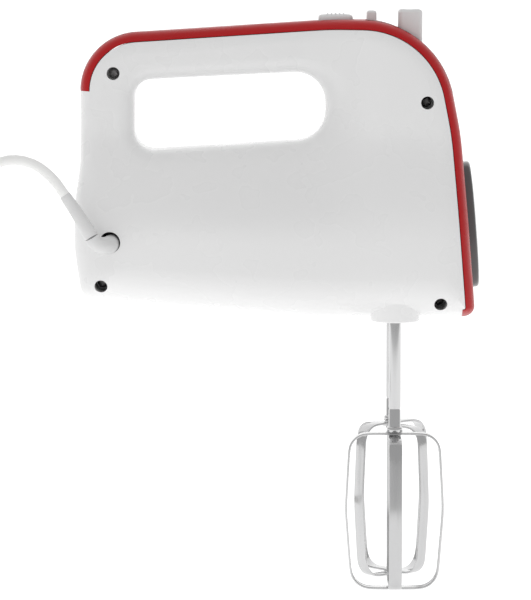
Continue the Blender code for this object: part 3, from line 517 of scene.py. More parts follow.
CORD_RADIUS = 2.5
ELBOW_RADIUS = 4.4
BOOT_RADIUS = 3.5
ELBOW_ROUTE = [
    (-57.6, -30.0, -93.9),
    (-58.3, -36.0, -94.4),
    (-61.2, -41.2, -94.6),
    (-64.8, -43.4, -92.9),
    (-66.6, -43.9, -90.3),
]
BOOT_ROUTE = [(-67.1, -44.0, -89.6), (-70.6, -44.3, -83.6), (-75.0, -44.5, -76.6), (-79.7, -44.4, -69.6)]
CORD_ROUTE = [
    (-79.9, -44.4, -69.3),
    (-86.2, -44.0, -61.0),
    (-95.5, -43.0, -54.4),
    (-107.5, -42.0, -52.8),
    (-119.0, -41.0, -58.4),
    (-127.5, -40.3, -71.0),
    (-132.0, -40.0, -90.0),
    (-134.5, -40.0, -125.0),
    (-135.5, -40.0, -165.0),
    (-135.6, -40.0, -205.0),
    (-135.4, -38.6, -232.0),
    (-135.0, -32.0, -250.5),
    (-134.6, -20.0, -261.5),
    (-134.3, -6.0, -264.5),
    (-134.2, 8.0, -264.5),
]
BOOT_START = [(-75.0, -44.5, -76.6), (-77.4, -44.5, -72.9)]
COIL_CENTRE = (-172.0, 8.0)
COIL_LAYER = 4.9
COIL_LIFT = 0.7
COIL_TURNS = 4.5
COIL_OUTER_RADIUS = 37.8
COIL_STEPS = 40


def coil_radius(turn):
    """How far from its middle the lead lies in the coil: it goes in along the bottom, then out on top."""
    marks = [0.0, 0.5, 2.5, 4.0, 4.5]
    radii = [COIL_OUTER_RADIUS, 32.5, 22.6, 30.0, COIL_OUTER_RADIUS]
    return float(np.interp(turn, marks, radii))


def coil_height(turn):
    """The lead climbs onto the second layer halfway and comes down again at the end."""
    marks = [0.0, 0.5, 2.15, 2.6, 4.3, 4.5]
    upper = COIL_LIFT + COIL_LAYER
    heights = [0.0, COIL_LIFT, COIL_LIFT, upper, upper, 2.5]
    return float(np.interp(turn, marks, heights))


def coil_points():
    """The coil from where the lead meets it, seen from above counter-clockwise."""
    x, y = COIL_CENTRE
    found = []
    for k in range(1, round(COIL_TURNS * COIL_STEPS) + 1):
        turn = k / COIL_STEPS
        window = [turn + d for d in (-0.12, -0.06, 0.0, 0.06, 0.12)]
        window = [min(max(w, 0.0), COIL_TURNS) for w in window]
        radius = sum(coil_radius(w) for w in window) / len(window)
        height = sum(coil_height(w) for w in window) / len(window)
        angle = 2 * pi * turn
        found.append((x + radius * cos(angle), y + radius * sin(angle), FLOOR + CORD_RADIUS + height))
    return found


def lead_path():
    route = smooth_through([*BOOT_START, *CORD_ROUTE], 4.0)
    coil = [Vector(p) for p in coil_points()]
    end = coil[-1]
    return [*route, *coil, end + Vector((0.0, -4.0, 0.0)), end + Vector((0.0, -9.0, 0.0))]


def build_lead():
    path = lead_path()
    mesh = finished(loft(tube_rings(path, [CORD_RADIUS] * len(path), 20)), "mains_lead")
    nodes = ("mains_lead", "lead_coil")
    lead = place_piece("mains_lead_sheath", mesh, LEAD_WHITE, HOUSING, nodes)
    route = smooth_through(BOOT_ROUTE, 0.9)
    count = len(route) - 1
    radii = [BOOT_RADIUS - 0.78 * (k / count) ** 1.15 for k in range(count + 1)]
    radii[-1] -= 0.25
    boot = finished(loft(tube_rings(route, radii, 32)), "boot")
    boot = place_piece("lead_boot", boot, LEAD_GREY, HOUSING, ("strain_relief",), 50)
    route = smooth_through(ELBOW_ROUTE, 0.9)
    count = len(route) - 1
    radii = [ELBOW_RADIUS - 0.75 * ease((k / count - 0.45) / 0.55) for k in range(count + 1)]
    elbow = finished(loft(tube_rings(route, radii, 32)), "elbow")
    place_piece("lead_elbow_cover", elbow, LEAD_GREY, HOUSING, ("lead_elbow",), 50)
    relief = build_plug_relief()
    plug = build_plug()
    tie = build_tie()


def ease(t):
    t = min(max(t, 0.0), 1.0)
    return t * t * (3 - 2 * t)


PLUG_X = COIL_CENTRE[0] - COIL_OUTER_RADIUS
PLUG_LENGTH = 34.0
RELIEF_LENGTH = 15.0


def build_plug_relief():
    """A tapered sleeve with five ring grooves."""
    y, z = COIL_CENTRE[1], FLOOR + 5.0
    profile = [(0.0, 0.0), (2.75, 0.0)]
    for k in range(61):
        run = 0.2 + (RELIEF_LENGTH - 0.2) * k / 60
        groove = 0.35 * (0.5 - 0.5 * cos(2 * pi * (run - 2.0) / 2.2)) if 2.0 < run < 13.0 else 0.0
        profile.append((2.85 + 1.35 * run / RELIEF_LENGTH - groove, run))
    profile.append((0.0, RELIEF_LENGTH))
    mesh = turned_mesh("plug_relief", profile, (PLUG_X, y, z), (0, -1, 0), 36)
    return place_piece("plug_sleeve", mesh, LEAD_WHITE, HOUSING, ("plug_relief",), 60)


def build_plug():
    """A flat two-pin plug: a rounded body that narrows to the lead, with finger dimples on its sides."""
    start = COIL_CENTRE[1] - RELIEF_LENGTH - GAP
    z = FLOOR + 6.25
    rings = []
    steps = 48
    for k in range(41):
        share = k / 40
        end = min(share, 1 - share) * PLUG_LENGTH
        shoulder = 1.0 - 0.22 * (1 - roundness(share * PLUG_LENGTH / 6.0)) - 0.10 * (1 - roundness(end / 1.6))
        dimple = 0.9 * (0.5 - 0.5 * cos(2 * pi * share)) ** 2
        wide, high = 6.8 * shoulder, 6.2 * shoulder
        ring = []
        for n in range(steps):
            angle = 2 * pi * n / steps
            side = superellipse(cos(angle), 0.55)
            up = superellipse(sin(angle), 0.55)
            x = PLUG_X + side * (wide - dimple * abs(side))
            ring.append(Vector((x, start - PLUG_LENGTH * share, z + up * high)))
        rings.append(ring)
    mesh = finished(loft(rings), "plug")
    return place_piece("plug_shell", mesh, LEAD_WHITE, HOUSING, ("plug_body",), 40)


def build_tie():
    """A flat twist tie round the coil."""
    x, y = COIL_CENTRE
    low, high = y - 35.8, y - 19.2
    bottom, top = FLOOR, FLOOR + 11.2
    corners = [(low, bottom), (high, bottom), (high, top), (low, top)]
    outline = []
    for k, (cy, cz) in enumerate(corners):
        middle = Vector((cy + (2.0 if k in (0, 3) else -2.0), cz + (2.0 if k in (0, 1) else -2.0)))
        for step in range(9):
            angle = pi + pi / 2 * k + pi / 2 * step / 8
            outline.append((middle, Vector((cos(angle), sin(angle)))))
    rings = []
    for middle, out in outline:
        outer, inner = middle + out * 2.0, middle + out * 1.5
        rings.append(
            [
                Vector((x + dx, p.x, p.y))
                for p, dx in ((inner, -2.0), (outer, -1.8), (outer, 1.8), (inner, 2.0))
            ]
        )
    mesh = finished(loft(rings, closed=True), "tie")
    return place_piece("coil_tie", mesh, LEAD_GREY, HOUSING, ("lead_tie",), 40)


def superellipse(value, exponent):
    return abs(value) ** exponent * (1 if value >= 0 else -1)


def roundness(t):
    t = min(max(t, 0.0), 1.0)
    return sqrt(1 - (1 - t) ** 2)


build_lead()


# ---------------------------------------------------------------- body outline and surface

# The CAD part's design values in millimetres, with finer steps and a softer shoulder below the grip.
BODY_CORNERS = [
    (-74.0, 7.0, 29.0),
    (50.0, 15.0, 200.0),
    (103.2, 14.6, 46.0),
    (114.3, -42.0, 150.0),
    (121.4, -131.7, 6.0),
    (40.0, -130.8, 300.0),
    (-72.8, -123.4, 8.0),
    (-76.4, -98.0, 60.0),
    (-76.4, -75.0, 60.0),
    (-74.0, -57.0, 60.0),
]
BODY_MAIN = (0, 2, 4, 6)
HOLE_CORNERS = [(-47.2, -14.9, 9.0), (47.5, -10.2, 15.0), (47.5, -44.0, 15.0), (-47.2, -50.0, 10.0)]
HOLE_MAIN = (0, 1, 2, 3)
SIDE_STEPS = (54, 44, 54, 44)
EDGE_ROWS = (0.0, 0.25, 0.7, 1.4, 2.3, 3.5, 5.0, 6.8, 9.0, 11.5)
HOLE_ROWS = (0.0, 0.2, 0.6, 1.2, 2.0, 3.1, 4.5, 6.4, 9.0)
MIDDLE_ROWS = 12
OUTER_EDGE = {"top": (11.0, 11.0), "front": (12.0, 12.0), "bottom": (19.0, 26.0), "rear": (10.5, 10.5)}
HOLE_EDGE = {"top": (8.0, 8.0), "front": (17.0, 11.0), "bottom": (9.0, 9.0), "rear": (7.0, 8.0)}
NORMAL_BLEND = 5.0
GRIP_HALF_WIDTH = 15.5
FRONT_HALF_WIDTH = 27.0
MOTOR_HALF_WIDTH = 44.0
MOTOR_MID_X = 8.0
FLARE_START_X = 36.0
FLARE_LENGTH = 40.0
NARROWING_TO_FRONT = (6.5, 113.0)
NARROWING_TO_REAR = (13.0, 84.0)
SHOULDER_TOP_Z = -41.0
SHOULDER_HEIGHT = 50.0
SHOULDER_POWER = 0.85
WALL = 2.4
TRIM_DEPTH = 4.7
TRIM_THICKNESS = 2.2
TRIM_ARC_STEPS = 22
TRIM_CORNERS = 5
TRIM_STEP = 4.0
CLOSEST_STATIONS = 0.2
BEATER_X = 81.8
BEATER_SPACING = 45.0
SCREW_PLACES = {
    "rear_upper": (-57.3, -11.5),
    "front_upper": (97.3, -25.5),
    "rear_lower": (-62.9, -115.4),
    "front_lower": (103.9, -124.0),
}
OUTLET_PLACE = (-58.3, -93.5)
OUTLET_RADIUS = 5.2
COUNTERBORE_RADIUS = 3.2
COUNTERBORE_FLOOR = -6.0
CONTROL_OPENINGS = [
    ((43.4, -7.6, 2.0), (61.6, 7.6, 30.0)),
    ((67.3, -8.6, 2.0), (81.4, 8.6, 30.0)),
    ((83.0, -9.6, -12.0), (96.0, 9.6, 30.0)),
]


def rounded_outline(corners, steps=24):
    """The outline's points, and the index of the point in the middle of each corner's arc."""
    points, middles = [], []
    count = len(corners)
    for i, (x, z, radius) in enumerate(corners):
        corner = Vector((x, z))
        back = (Vector(corners[i - 1][:2]) - corner).normalized()
        ahead = (Vector(corners[(i + 1) % count][:2]) - corner).normalized()
        half = back.angle(ahead) / 2
        centre = corner + (back + ahead).normalized() * (radius / sin(half))
        first = corner + back * (radius / tan(half)) - centre
        last = corner + ahead * (radius / tan(half)) - centre
        start = atan2(first.y, first.x)
        sweep = atan2(last.y, last.x) - start
        sweep = (sweep + pi) % (2 * pi) - pi
        middles.append(len(points) + steps // 2)
        for step in range(steps + 1):
            angle = start + sweep * step / steps
            points.append(centre + Vector((cos(angle), sin(angle))) * radius)
    return points, middles


def stations(corners, main):
    """Points around an outline, with the same number on each of its four sides."""
    points, middles = rounded_outline(corners)
    marks = [middles[i] for i in main]
    found = []
    for k, steps in enumerate(SIDE_STEPS):
        a, b = marks[k], marks[(k + 1) % 4]
        path = points[a : b + 1] if b > a else points[a:] + points[: b + 1]
        lengths = [0.0]
        for p, q in zip(path, path[1:]):
            lengths.append(lengths[-1] + (q - p).length)
        for step in range(steps):
            want = lengths[-1] * step / steps
            i = max(n for n, s in enumerate(lengths[:-1]) if s <= want)
            share = (want - lengths[i]) / max(lengths[i + 1] - lengths[i], 1e-9)
            found.append(path[i].lerp(path[i + 1], share))
    return found


def marked_edge(corners):
    """(points, outward normals) at most a millimetre apart along an outline, to measure distances to it."""
    points, _ = rounded_outline(corners, 12)
    places, normals = [], []
    for p, q in zip(points, points[1:] + points[:1]):
        along = q - p
        if along.length < 1e-6:
            continue
        count = ceil(along.length)
        for k in range(count):
            places.append(p + along * (k + 0.5) / count)
            normals.append(Vector((-along.y, along.x)).normalized())
    return np.array(places), np.array(normals)


BODY_EDGE = marked_edge(BODY_CORNERS)
HOLE_EDGE_PATH = marked_edge(HOLE_CORNERS)


def distance_to(edge, place):
    """The distance from a place to an outline, and the outline's mean outward normal near there."""
    places, normals = edge
    apart = np.array(place) - places
    across = np.abs(np.einsum("ij,ij->i", apart, normals))
    reach = np.linalg.norm(apart, axis=1)
    nearest = int(np.argmin(reach))
    weights = np.exp((reach[nearest] - reach) / NORMAL_BLEND)
    mean = (normals * weights[:, None]).sum(axis=0)
    return float(min(across[nearest], reach[nearest])), Vector(mean).normalized()


def edge_size(table, normal):
    """Mixes the four sides' edge sizes by the direction of an outward normal."""
    shares = {
        "top": max(normal.y, 0.0) ** 2,
        "bottom": max(-normal.y, 0.0) ** 2,
        "front": max(normal.x, 0.0) ** 2,
        "rear": max(-normal.x, 0.0) ** 2,
    }
    radius = sum(share * table[side][0] for side, share in shares.items())
    depth = sum(share * table[side][1] for side, share in shares.items())
    return radius, depth


def full_half_width(x, z):
    """Half of the body's width away from its edges."""
    flare = ease((x - FLARE_START_X) / FLARE_LENGTH)
    upper = GRIP_HALF_WIDTH + (FRONT_HALF_WIDTH - GRIP_HALF_WIDTH) * flare
    narrowing, reach = NARROWING_TO_FRONT if x > MOTOR_MID_X else NARROWING_TO_REAR
    lower = MOTOR_HALF_WIDTH - narrowing * ((x - MOTOR_MID_X) / reach) ** 2
    down = min(max((SHOULDER_TOP_Z - z) / SHOULDER_HEIGHT, 0.0), 1.0) ** SHOULDER_POWER
    return upper + (lower - upper) * ease(down)


def half_width(place, inset=0.0):
    """Half of the body's width at a place in the side view; the inset moves all its faces in."""
    distance, normal = distance_to(BODY_EDGE, place)
    radius, depth = edge_size(OUTER_EDGE, normal)
    half = full_half_width(place.x, place.y) - inset
    half -= (depth - inset / 2) * (1 - roundness((distance - inset) / (radius - inset)))
    distance, normal = distance_to(HOLE_EDGE_PATH, place)
    radius, depth = edge_size(HOLE_EDGE, normal)
    return half - depth * (1 - roundness(distance / radius))


def side_rows(p, q):
    """Points (x, half width, z) from the body's outline to the finger hole, at one station."""
    length = (q - p).length
    room = min(1.0, (length - 3.0) / (EDGE_ROWS[-1] + HOLE_ROWS[-1]))
    first, last = EDGE_ROWS[-1] * room, length - HOLE_ROWS[-1] * room
    distances = [row * room for row in EDGE_ROWS]
    distances += [first + (last - first) * k / (MIDDLE_ROWS + 1) for k in range(1, MIDDLE_ROWS + 1)]
    distances += [length - row * room for row in reversed(HOLE_ROWS)]
    rows = []
    for distance in distances:
        place = p.lerp(q, distance / length)
        rows.append((place.x, half_width(place), place.y))
    return rows


def side_grid():
    rows = []
    for outer, hole in zip(stations(BODY_CORNERS, BODY_MAIN), stations(HOLE_CORNERS, HOLE_MAIN)):
        rows.append(side_rows(outer, hole))
    return rows


SIDE_GRID = side_grid()


def side_bm(side, seam):
    """One side of the body as an open surface that ends at the seam."""
    bm = bmesh.new()
    grid = []
    for rows in SIDE_GRID:
        rows = [(rows[0][0], seam, rows[0][2]), *rows, (rows[-1][0], seam, rows[-1][2])]
        grid.append([bm.verts.new(mm((x, side * y, z))) for x, y, z in rows])
    for a, b in zip(grid, grid[1:] + grid[:1]):
        for k in range(len(a) - 1):
            quad = (a[k], b[k], b[k + 1], a[k + 1])
            bm.faces.new(quad[::-1] if side < 0 else quad)
    return bm


def trim_path():
    """(point, outward normal) along the trim cover, from the handle's rear end to the foot of the front."""
    points, _ = rounded_outline(BODY_CORNERS, TRIM_ARC_STEPS)
    corners = points[: TRIM_CORNERS * (TRIM_ARC_STEPS + 1)]
    path = []
    for p, q in zip(corners, corners[1:]):
        count = max(1, ceil((q - p).length / TRIM_STEP))
        path += [p.lerp(q, k / count) for k in range(count)]
    path.append(corners[-1])
    found = []
    for i, place in enumerate(path):
        before, after = path[max(i - 1, 0)], path[min(i + 1, len(path) - 1)]
        if found and (place - found[-1][0]).length < CLOSEST_STATIONS:
            continue
        if (after - before).length < CLOSEST_STATIONS:
            continue
        along = (after - before).normalized()
        found.append((place, Vector((-along.y, along.x))))
    return found


# ---------------------------------------------------------------- side shells


def stepped_hole(origin, direction, steps):
    """A closed turned solid from (radius, start, end) steps along a direction."""
    profile = [(0.0, steps[0][1])]
    for radius, start, end in steps:
        profile += [(radius, start), (radius, end)]
    profile.append((0.0, steps[-1][2]))
    return turned_mesh("hole", profile, origin, direction, 40)


def gathered(meshes):
    bm = bmesh.new()
    for mesh in meshes:
        bm.from_mesh(mesh)
        bpy.data.meshes.remove(mesh)
    return finished(bm, "tools")


def trim_zone():
    """The space that the trim cover takes up, which the shells leave free."""
    rings = []
    for place, normal in trim_path():
        outside, inside = place + normal * 8, place - normal * (TRIM_DEPTH + GAP)
        corners = [(outside, -60), (outside, 60), (inside, 60), (inside, -60)]
        rings.append([Vector((p.x, y, p.y)) for p, y in corners])
    return finished(loft(rings), "zone")


def limit_mesh(side):
    """The side of the body as a solid a little smaller than the shell, which trims what stands inside."""
    bm = side_bm(side, GAP / 2)
    bmesh.ops.translate(bm, vec=(0, -side * 1.2 * MM, 0), verts=bm.verts)
    rims = [e for e in bm.edges if e.is_boundary]
    for edge in rims:
        for vert in edge.verts:
            vert.co.y = side * GAP / 2 * MM
    bmesh.ops.triangle_fill(bm, use_beauty=True, edges=rims)
    return finished(bm, "limit")


def loose_object(mesh):
    made = bpy.data.objects.new("loose", mesh)
    bpy.context.scene.collection.objects.link(made)
    return made


def build_shell(side):
    name = "right_shell" if side < 0 else "left_shell"
    mesh = bpy.data.meshes.new(name)
    bm = side_bm(side, GAP / 2)
    bm.to_mesh(mesh)
    bm.free()
    shell = place_piece(name + "_casing", mesh, WHITE, HOUSING, (name,))
    wall = shell.modifiers.new("wall", "SOLIDIFY")
    wall.thickness = WALL * MM
    wall.offset = -1
    wall.use_even_offset = True
    wall.thickness_clamp = 1.0
    bake_modifiers(shell)

    far = 60.0 * side
    radius = 5.0 if side < 0 else 4.2
    bosses = [
        bar_between((x, far, z), (x, side * GAP / 2, z), radius, steps=32) for x, z in SCREW_PLACES.values()
    ]
    bosses = loose_object(gathered(bosses))
    cut(bosses, [limit_mesh(side)], "INTERSECT")
    y = side * BEATER_SPACING / 2
    profile = [(0.0, -133.3), (10.9, -133.3)]
    for k in range(1, 7):
        angle = pi / 2 * k / 6
        profile.append((10.9 + sin(angle) * 1.1, -132.3 - cos(angle)))
    profile += [(12.3, -130.6), (14.6, -116.0), (0.0, -116.0)]
    collar = turned_mesh("collar", profile, (BEATER_X, y, 0), (0, 0, 1), 72)
    inner = bosses.data
    bpy.data.objects.remove(bosses)
    cut(shell, [inner, collar], "UNION")

    tools = [stepped_hole((BEATER_X, y, 0), (0, 0, 1), [(5.7, -140.0, -131.2), (8.4, -131.2, -100.0)])]
    for x, z in SCREW_PLACES.values():
        if side < 0:
            steps = [(COUNTERBORE_RADIUS, -60.0, COUNTERBORE_FLOOR), (1.8, COUNTERBORE_FLOOR, 5.0)]
        else:
            steps = [(1.8, -5.0, 9.5)]
        tools.append(stepped_hole((x, 0, z), (0, 1, 0), steps))
    if side < 0:
        (x, z), radius = OUTLET_PLACE, OUTLET_RADIUS
        tools.append(bar_between((x, -60, z), (x, -20, z), radius, steps=48))
    cut(shell, [gathered(tools)])
    cut(shell, [trim_zone()])
    reshade(shell, 32)
    return shell


for way in (-1, 1):
    build_shell(way)


# ---------------------------------------------------------------- trim cover and front panel

TRIM_OUTER_DEPTHS = (4.7, 4.62, 4.4, 4.0, 3.4, 2.8, 2.2, 1.7, 1.3, 0.95, 0.65, 0.4, 0.2, 0.07, 0.0)
TRIM_INNER_DEPTHS = (4.7, 4.2, 3.6, 3.1, 2.7, 2.4, TRIM_THICKNESS)
LIP = 0.35


def trim_section(place, normal):
    """The trim cover's closed cross-section at one place of the outline, with a rounded lip at each seam."""
    outer = []
    for d in TRIM_OUTER_DEPTHS:
        lip = LIP * (1 - roundness((TRIM_DEPTH - d) / LIP))
        outer.append((d, half_width(place - normal * d) - lip))
    inner = [(d, half_width(place - normal * d, TRIM_THICKNESS)) for d in TRIM_INNER_DEPTHS]
    across = [y * share for y in (outer[-1][1],) for share in (0.6, 0.2, -0.2, -0.6)]
    crown = [(-0.06 * (1 - (y / outer[-1][1]) ** 2), y) for y in across]
    left = [*outer, *crown, *[(d, -y) for d, y in reversed(outer)]]
    return left + [(d, -y) for d, y in inner] + [(d, y) for d, y in reversed(inner)]


def build_trim_cover():
    rings = []
    for place, normal in trim_path():
        ring = []
        for d, y in trim_section(place, normal):
            spot = place - normal * d
            ring.append(Vector((spot.x, y, spot.y)))
        rings.append(ring)
    mesh = finished(loft(rings), "trim")
    trim = place_piece("trim_cover_skin", mesh, RED, HOUSING, ("trim_cover",), 40)
    cut(trim, [finished(box_bm(low, high), "opening") for low, high in CONTROL_OPENINGS])
    reshade(trim, 40)


PANEL_MIDDLE_Z = -87.0
PANEL_HALF_WIDTH = 18.5
PANEL_HALF_HEIGHT = 31.5
PANEL_BEZEL = 0.86
PANEL_POWER = 0.88
PANEL_STEPS = 128


def panel_frame():
    """(middle, direction down the front, outward direction) of the oval panel."""
    top, foot = (Vector(corner[:2]) for corner in BODY_CORNERS[3:5])
    down = (foot - top).normalized()
    out = Vector((-down.y, down.x))
    middle = top + down * (PANEL_MIDDLE_Z - top.y) / down.y + out * GAP
    return middle, down, out


def panel_ring(height, scale):
    middle, down, out = panel_frame()
    ring = []
    for k in range(PANEL_STEPS):
        angle = 2 * pi * k / PANEL_STEPS
        y = PANEL_HALF_WIDTH * scale * superellipse(cos(angle), PANEL_POWER)
        run = PANEL_HALF_HEIGHT * (1 - (1 - scale) * 0.75) * superellipse(sin(angle), PANEL_POWER)
        spot = middle + down * run + out * height
        ring.append(Vector((spot.x, y, spot.y)))
    return ring


def build_front_panel():
    """A smoked bezel with a polished black dome let into it."""
    bezel = [(0.0, 1.0), (0.15, 1.0), (1.2, 1.0), (2.2, 0.998)]
    for k in range(1, 9):
        angle = pi / 2 * k / 8
        bezel.append((2.2 + 1.5 * sin(angle), 0.998 - 0.075 * (1 - cos(angle))))
    bezel += [(3.68, PANEL_BEZEL + 0.02), (3.4, PANEL_BEZEL + 0.006), (2.6, PANEL_BEZEL)]
    mesh = finished(loft([panel_ring(h, s) for h, s in bezel]), "bezel")
    place_piece("panel_bezel", mesh, SMOKE, HOUSING, ("front_panel",), 50)
    dome = [(2.7, PANEL_BEZEL - 0.012), (3.5, PANEL_BEZEL - 0.012)]
    for k in range(13):
        share = 1 - k / 13
        dome.append((3.75 + 1.25 * (1 - share**2.2), (PANEL_BEZEL - 0.02) * share))
    mesh = finished(loft([panel_ring(h, s) for h, s in dome]), "dome")
    place_piece("panel_dome", mesh, BLACK, HOUSING, (), 50)


# ---------------------------------------------------------------- controls


CAP_SEGMENTS = 8
CAP_LEVELS = 14
SMALLEST_CORNER = 0.15


def cap_rings(low, high, corner, edge, crown):
    """Level sections of an upright cap with rounded corners and a rounded top edge."""
    (x0, y0, z0), (x1, y1, z1) = low, high
    levels = [(z0 + (z1 - edge - z0) * k / CAP_LEVELS, 0.0) for k in range(CAP_LEVELS + 1)]
    for k in range(1, CAP_SEGMENTS + 1):
        angle = pi / 2 * k / CAP_SEGMENTS
        levels.append((z1 - edge + edge * sin(angle), edge * (1 - cos(angle))))
    x, y = (x0 + x1) / 2, (y0 + y1) / 2
    rings = []
    for z, inset in levels:
        radius = max(corner - inset, SMALLEST_CORNER)
        outline = rounded_rectangle(x1 - x, y1 - y, corner, radius, CAP_SEGMENTS)
        rings.append([Vector((x + u, y + v, z)) for u, v in outline])
    if crown:
        last = rings[-1]
        middle = sum(last, Vector()) / len(last)
        for k in range(1, 5):
            share = k / 5
            rise = Vector((0, 0, crown * (1 - (1 - share) ** 2)))
            rings.append([p.lerp(middle, share) + rise for p in last])
    return rings


def cap_mesh(low, high, corner=1.2, edge=1.0, crown=0.0):
    return finished(loft(cap_rings(low, high, corner, edge, crown)), "cap")


TURBO_X = 52.5
EJECT_ROD_X = 88.5


def build_controls():
    """The turbo key with ribs on top, the speed slider with grooved sides and the dished eject key."""
    turbo = cap_mesh((44.0, -7.0, 6.4), (61.0, 7.0, 17.4), 2.6, 1.6, 0.35)
    turbo = place_piece("turbo_key", turbo, GREY, "turbo_body", ("turbo_button",), 45)
    flange = finished(box_bm((42.0, -9.0, 7.0), (63.0, 9.0, 8.6), 0.3), "flange")
    plunger = bar_between((TURBO_X, 0, 0.4), (TURBO_X, 0, 7.4), 1.6)
    ribs = []
    for x in (TURBO_X + offset for offset in (-4, -2, 0, 2, 4)):
        ribs.append(bar_between((x, -4.6, 17.62), (x, 4.6, 17.62), 0.42, steps=20))
    cut(turbo, [flange, plunger, gathered(ribs)], "UNION")
    reshade(turbo, 45)

    speed = cap_mesh((68.0, -8.0, 5.0), (72.7, 8.0, 19.4), 1.4, 1.3)
    speed = place_piece("speed_key", speed, GREY, "speed_body", ("speed_slider",), 45)
    runner = finished(box_bm((65.6, -10.5, 4.2), (74.6, 10.5, 6.2), 0.3), "runner")
    cut(speed, [runner], "UNION")
    grooves = []
    for x in (68.0, 72.7):
        for z in (10.4, 12.2, 14.0, 15.8):
            grooves.append(bar_between((x, -5.8, z), (x, 5.8, z), 0.36, steps=20))
    cut(speed, [gathered(grooves)])
    reshade(speed, 45)

    eject = cap_mesh((83.6, -9.0, -5.4), (95.4, 9.0, 20.1), 2.2, 1.8, 0.3)
    eject = place_piece("eject_key", eject, GREY, "eject_body", ("eject_button",), 45)
    flange = finished(box_bm((81.8, -11.0, -7.0), (97.2, 11.0, -4.6), 0.3), "flange")
    cut(eject, [flange], "UNION")
    dish = bar_between((89.5, -40, 46.2), (89.5, 40, 46.2), 26.3, steps=160)
    cut(eject, [dish])
    reshade(eject, 45)


# ---------------------------------------------------------------- beaters

BEATER_TOP = -188.7
STRIP_WIDTH = 6.4
STRIP_THICKNESS = 1.1
STRIP_CORNER = 0.48
LOOP_STEP = 1.5
LOOP_SMOOTHING = 14
STEM_RADIUS = 3.0
STEM_TOP = -106.0


def loop_corners(shrink):
    """The beater loop's outline as (x, z, radius), with each side moved in by the same amount."""
    top, bottom = BEATER_TOP - shrink, FLOOR + shrink
    widest = top - 38.0
    return [
        (-22.6 + shrink, top, 9.5 - shrink),
        (22.6 - shrink, top, 9.5 - shrink),
        (24.7 - shrink, widest, 80.0 - shrink),
        (21.6 - shrink, bottom, 10.5 - shrink),
        (-21.6 + shrink, bottom, 10.5 - shrink),
        (-24.7 + shrink, widest, 80.0 - shrink),
    ]


def build_loop(name, side, shrink, turn):
    """A steel strip with rounded edges, bent into a closed loop round the beater's axis."""
    body = "right_beater" if side < 0 else "left_beater"
    outline, _ = rounded_outline(loop_corners(shrink + STRIP_THICKNESS / 2), 20)
    even = []
    for p, q in zip(outline, outline[1:] + outline[:1]):
        count = max(1, ceil((q - p).length / LOOP_STEP))
        even += [p.lerp(q, k / count) for k in range(count)]
    for _ in range(LOOP_SMOOTHING):
        even = [(a + 2 * b + c) / 4 for a, b, c in zip(even[-1:] + even[:-1], even, even[1:] + even[:1])]
    section = rounded_rectangle(STRIP_WIDTH / 2, STRIP_THICKNESS / 2, STRIP_CORNER, STRIP_CORNER, 5)
    rings = []
    count = len(even)
    for k, place in enumerate(even):
        along = (even[(k + 1) % count] - even[k - 1]).normalized()
        out = Vector((-along.y, along.x))
        ring = []
        for u, v in section:
            flat = place + out * v
            x, y = flat.x * cos(turn) - u * sin(turn), flat.x * sin(turn) + u * cos(turn)
            ring.append(Vector((BEATER_X + x, side * BEATER_SPACING / 2 + y, flat.y)))
        rings.append(ring)
    mesh = finished(loft(rings, closed=True), name)
    piece = place_piece(name + "_strip", mesh, STEEL, body, (name,), 50)
    y = side * BEATER_SPACING / 2
    cut(piece, [bar_between((BEATER_X, y, BEATER_TOP - 8), (BEATER_X, y, BEATER_TOP + 8), 1.9)])
    reshade(piece, 50)


def build_stem(side):
    """The stem with its collar, the rivet through both loops and its burred-over foot."""
    name = "right_beater" if side < 0 else "left_beater"
    below = BEATER_TOP - STRIP_THICKNESS - GAP - STRIP_THICKNESS
    radius = STEM_RADIUS
    profile = [(0.0, STEM_TOP), (radius - 0.9, STEM_TOP), (radius - 0.75, STEM_TOP - 0.1)]
    profile.append((radius, STEM_TOP - 1.2))
    profile += [(radius, BEATER_TOP + 12.6), (radius - 0.25, BEATER_TOP + 12.2)]
    profile += [(radius - 0.25, BEATER_TOP + 11.6), (radius, BEATER_TOP + 11.2), (radius, BEATER_TOP + 3.4)]
    profile += [(radius + 0.2, BEATER_TOP + 3.0), (3.8, BEATER_TOP + 2.8), (4.0, BEATER_TOP + 2.5)]
    profile += [(4.0, BEATER_TOP + 0.55), (3.8, BEATER_TOP + GAP)]
    profile += [(1.6, BEATER_TOP + GAP), (1.6, below - GAP)]
    profile += [(3.0, below - GAP), (3.2, below - GAP - 0.2), (3.1, below - 0.9), (2.4, below - 1.7)]
    profile += [(1.2, below - 2.05), (0.0, below - 2.1)]
    mesh = turned_mesh("stem", profile, (BEATER_X, side * BEATER_SPACING / 2, 0), (0, 0, 1), 40)
    place_piece(name + "_shaft", mesh, STEEL, name, (name + "_stem",), 40)


def build_beaters():
    inner = STRIP_THICKNESS + GAP
    for side, name, turn in ((-1, "right_beater", 0.0), (1, "left_beater", pi / 4)):
        build_loop(name + "_outer_loop", side, 0.0, turn)
        build_loop(name + "_inner_loop", side, inner, turn + pi / 2)
        build_stem(side)


# ---------------------------------------------------------------- screws


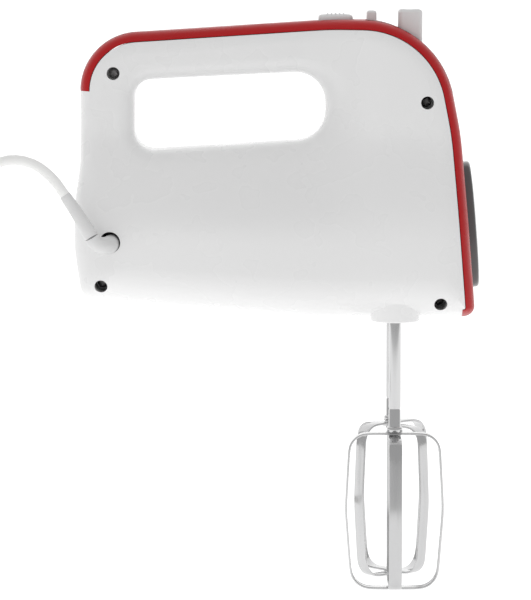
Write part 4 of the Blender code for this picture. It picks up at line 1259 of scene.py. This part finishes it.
def build_screws():
    """Pan-head screws with a cross recess, deep in their counterbores."""
    top = COUNTERBORE_FLOOR - GAP
    for place, (x, z) in SCREW_PLACES.items():
        node = place + "_screw"
        profile = [(0.0, -2.0), (0.8, -1.98), (1.6, -1.85), (2.3, -1.45), (2.65, -0.8), (2.7, 0.0)]
        profile += [(1.5, 0.0)]
        for k in range(18):
            run = 0.4 + 0.7 * k
            profile.append((1.5 if k % 2 else 1.15, run))
        profile += [(1.2, 13.2), (0.0, 14.2)]
        mesh = turned_mesh("screw", profile, (x, top, z), (0, 1, 0), 40)
        screw = place_piece(node + "_head", mesh, SCREW, HOUSING, (node,), 40)
        arms = []
        for turn in (0.35, 0.35 + pi / 2):
            arm = box_bm((-1.7, -3.0, -0.3), (1.7, -0.9, 0.3))
            turned_arm = Matrix.Translation(mm((x, top, z))) @ Matrix.Rotation(turn, 4, "Y")
            bmesh.ops.transform(arm, matrix=turned_arm, verts=arm.verts)
            arms.append(finished(arm, "arm"))
        cut(screw, arms)
        reshade(screw, 40)


def build_spring(name, node, middle, radius, wire, low, high, turns):
    """A coil spring whose ends lie close for most of a turn."""
    x, y = middle
    dead = 2.2 * wire
    path = []
    count = round((turns + 1.5) * 24)
    for k in range(count + 1):
        turn = (turns + 1.5) * k / count
        if turn < 0.75:
            z = low + dead * turn / 0.75
        elif turn < turns + 0.75:
            z = low + dead + (high - low - 2 * dead) * (turn - 0.75) / turns
        else:
            z = high - dead + dead * (turn - turns - 0.75) / 0.75
        path.append(Vector((x + radius * cos(2 * pi * turn), y + radius * sin(2 * pi * turn), z)))
    mesh = finished(loft(tube_rings(path, [wire] * len(path), 10)), name)
    mesh.materials.append(STEEL)
    mesh.shade_smooth()
    spring = bpy.data.objects.new(name, mesh)
    bpy.context.scene.collection.objects.link(spring)
    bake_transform(spring)
    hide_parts(node)


def build_springs():
    eject, turbo = (EJECT_ROD_X, 0), (TURBO_X, 0)
    build_spring("eject_coil_spring", "eject_spring", eject, 4.6, 0.42, -17.0, -8.2, 1.5)
    build_spring("turbo_coil_spring", "turbo_spring", turbo, 3.4, 0.35, -3.2, 5.4, 2.5)


build_trim_cover()
build_front_panel()
build_controls()
build_beaters()
build_screws()
build_springs()
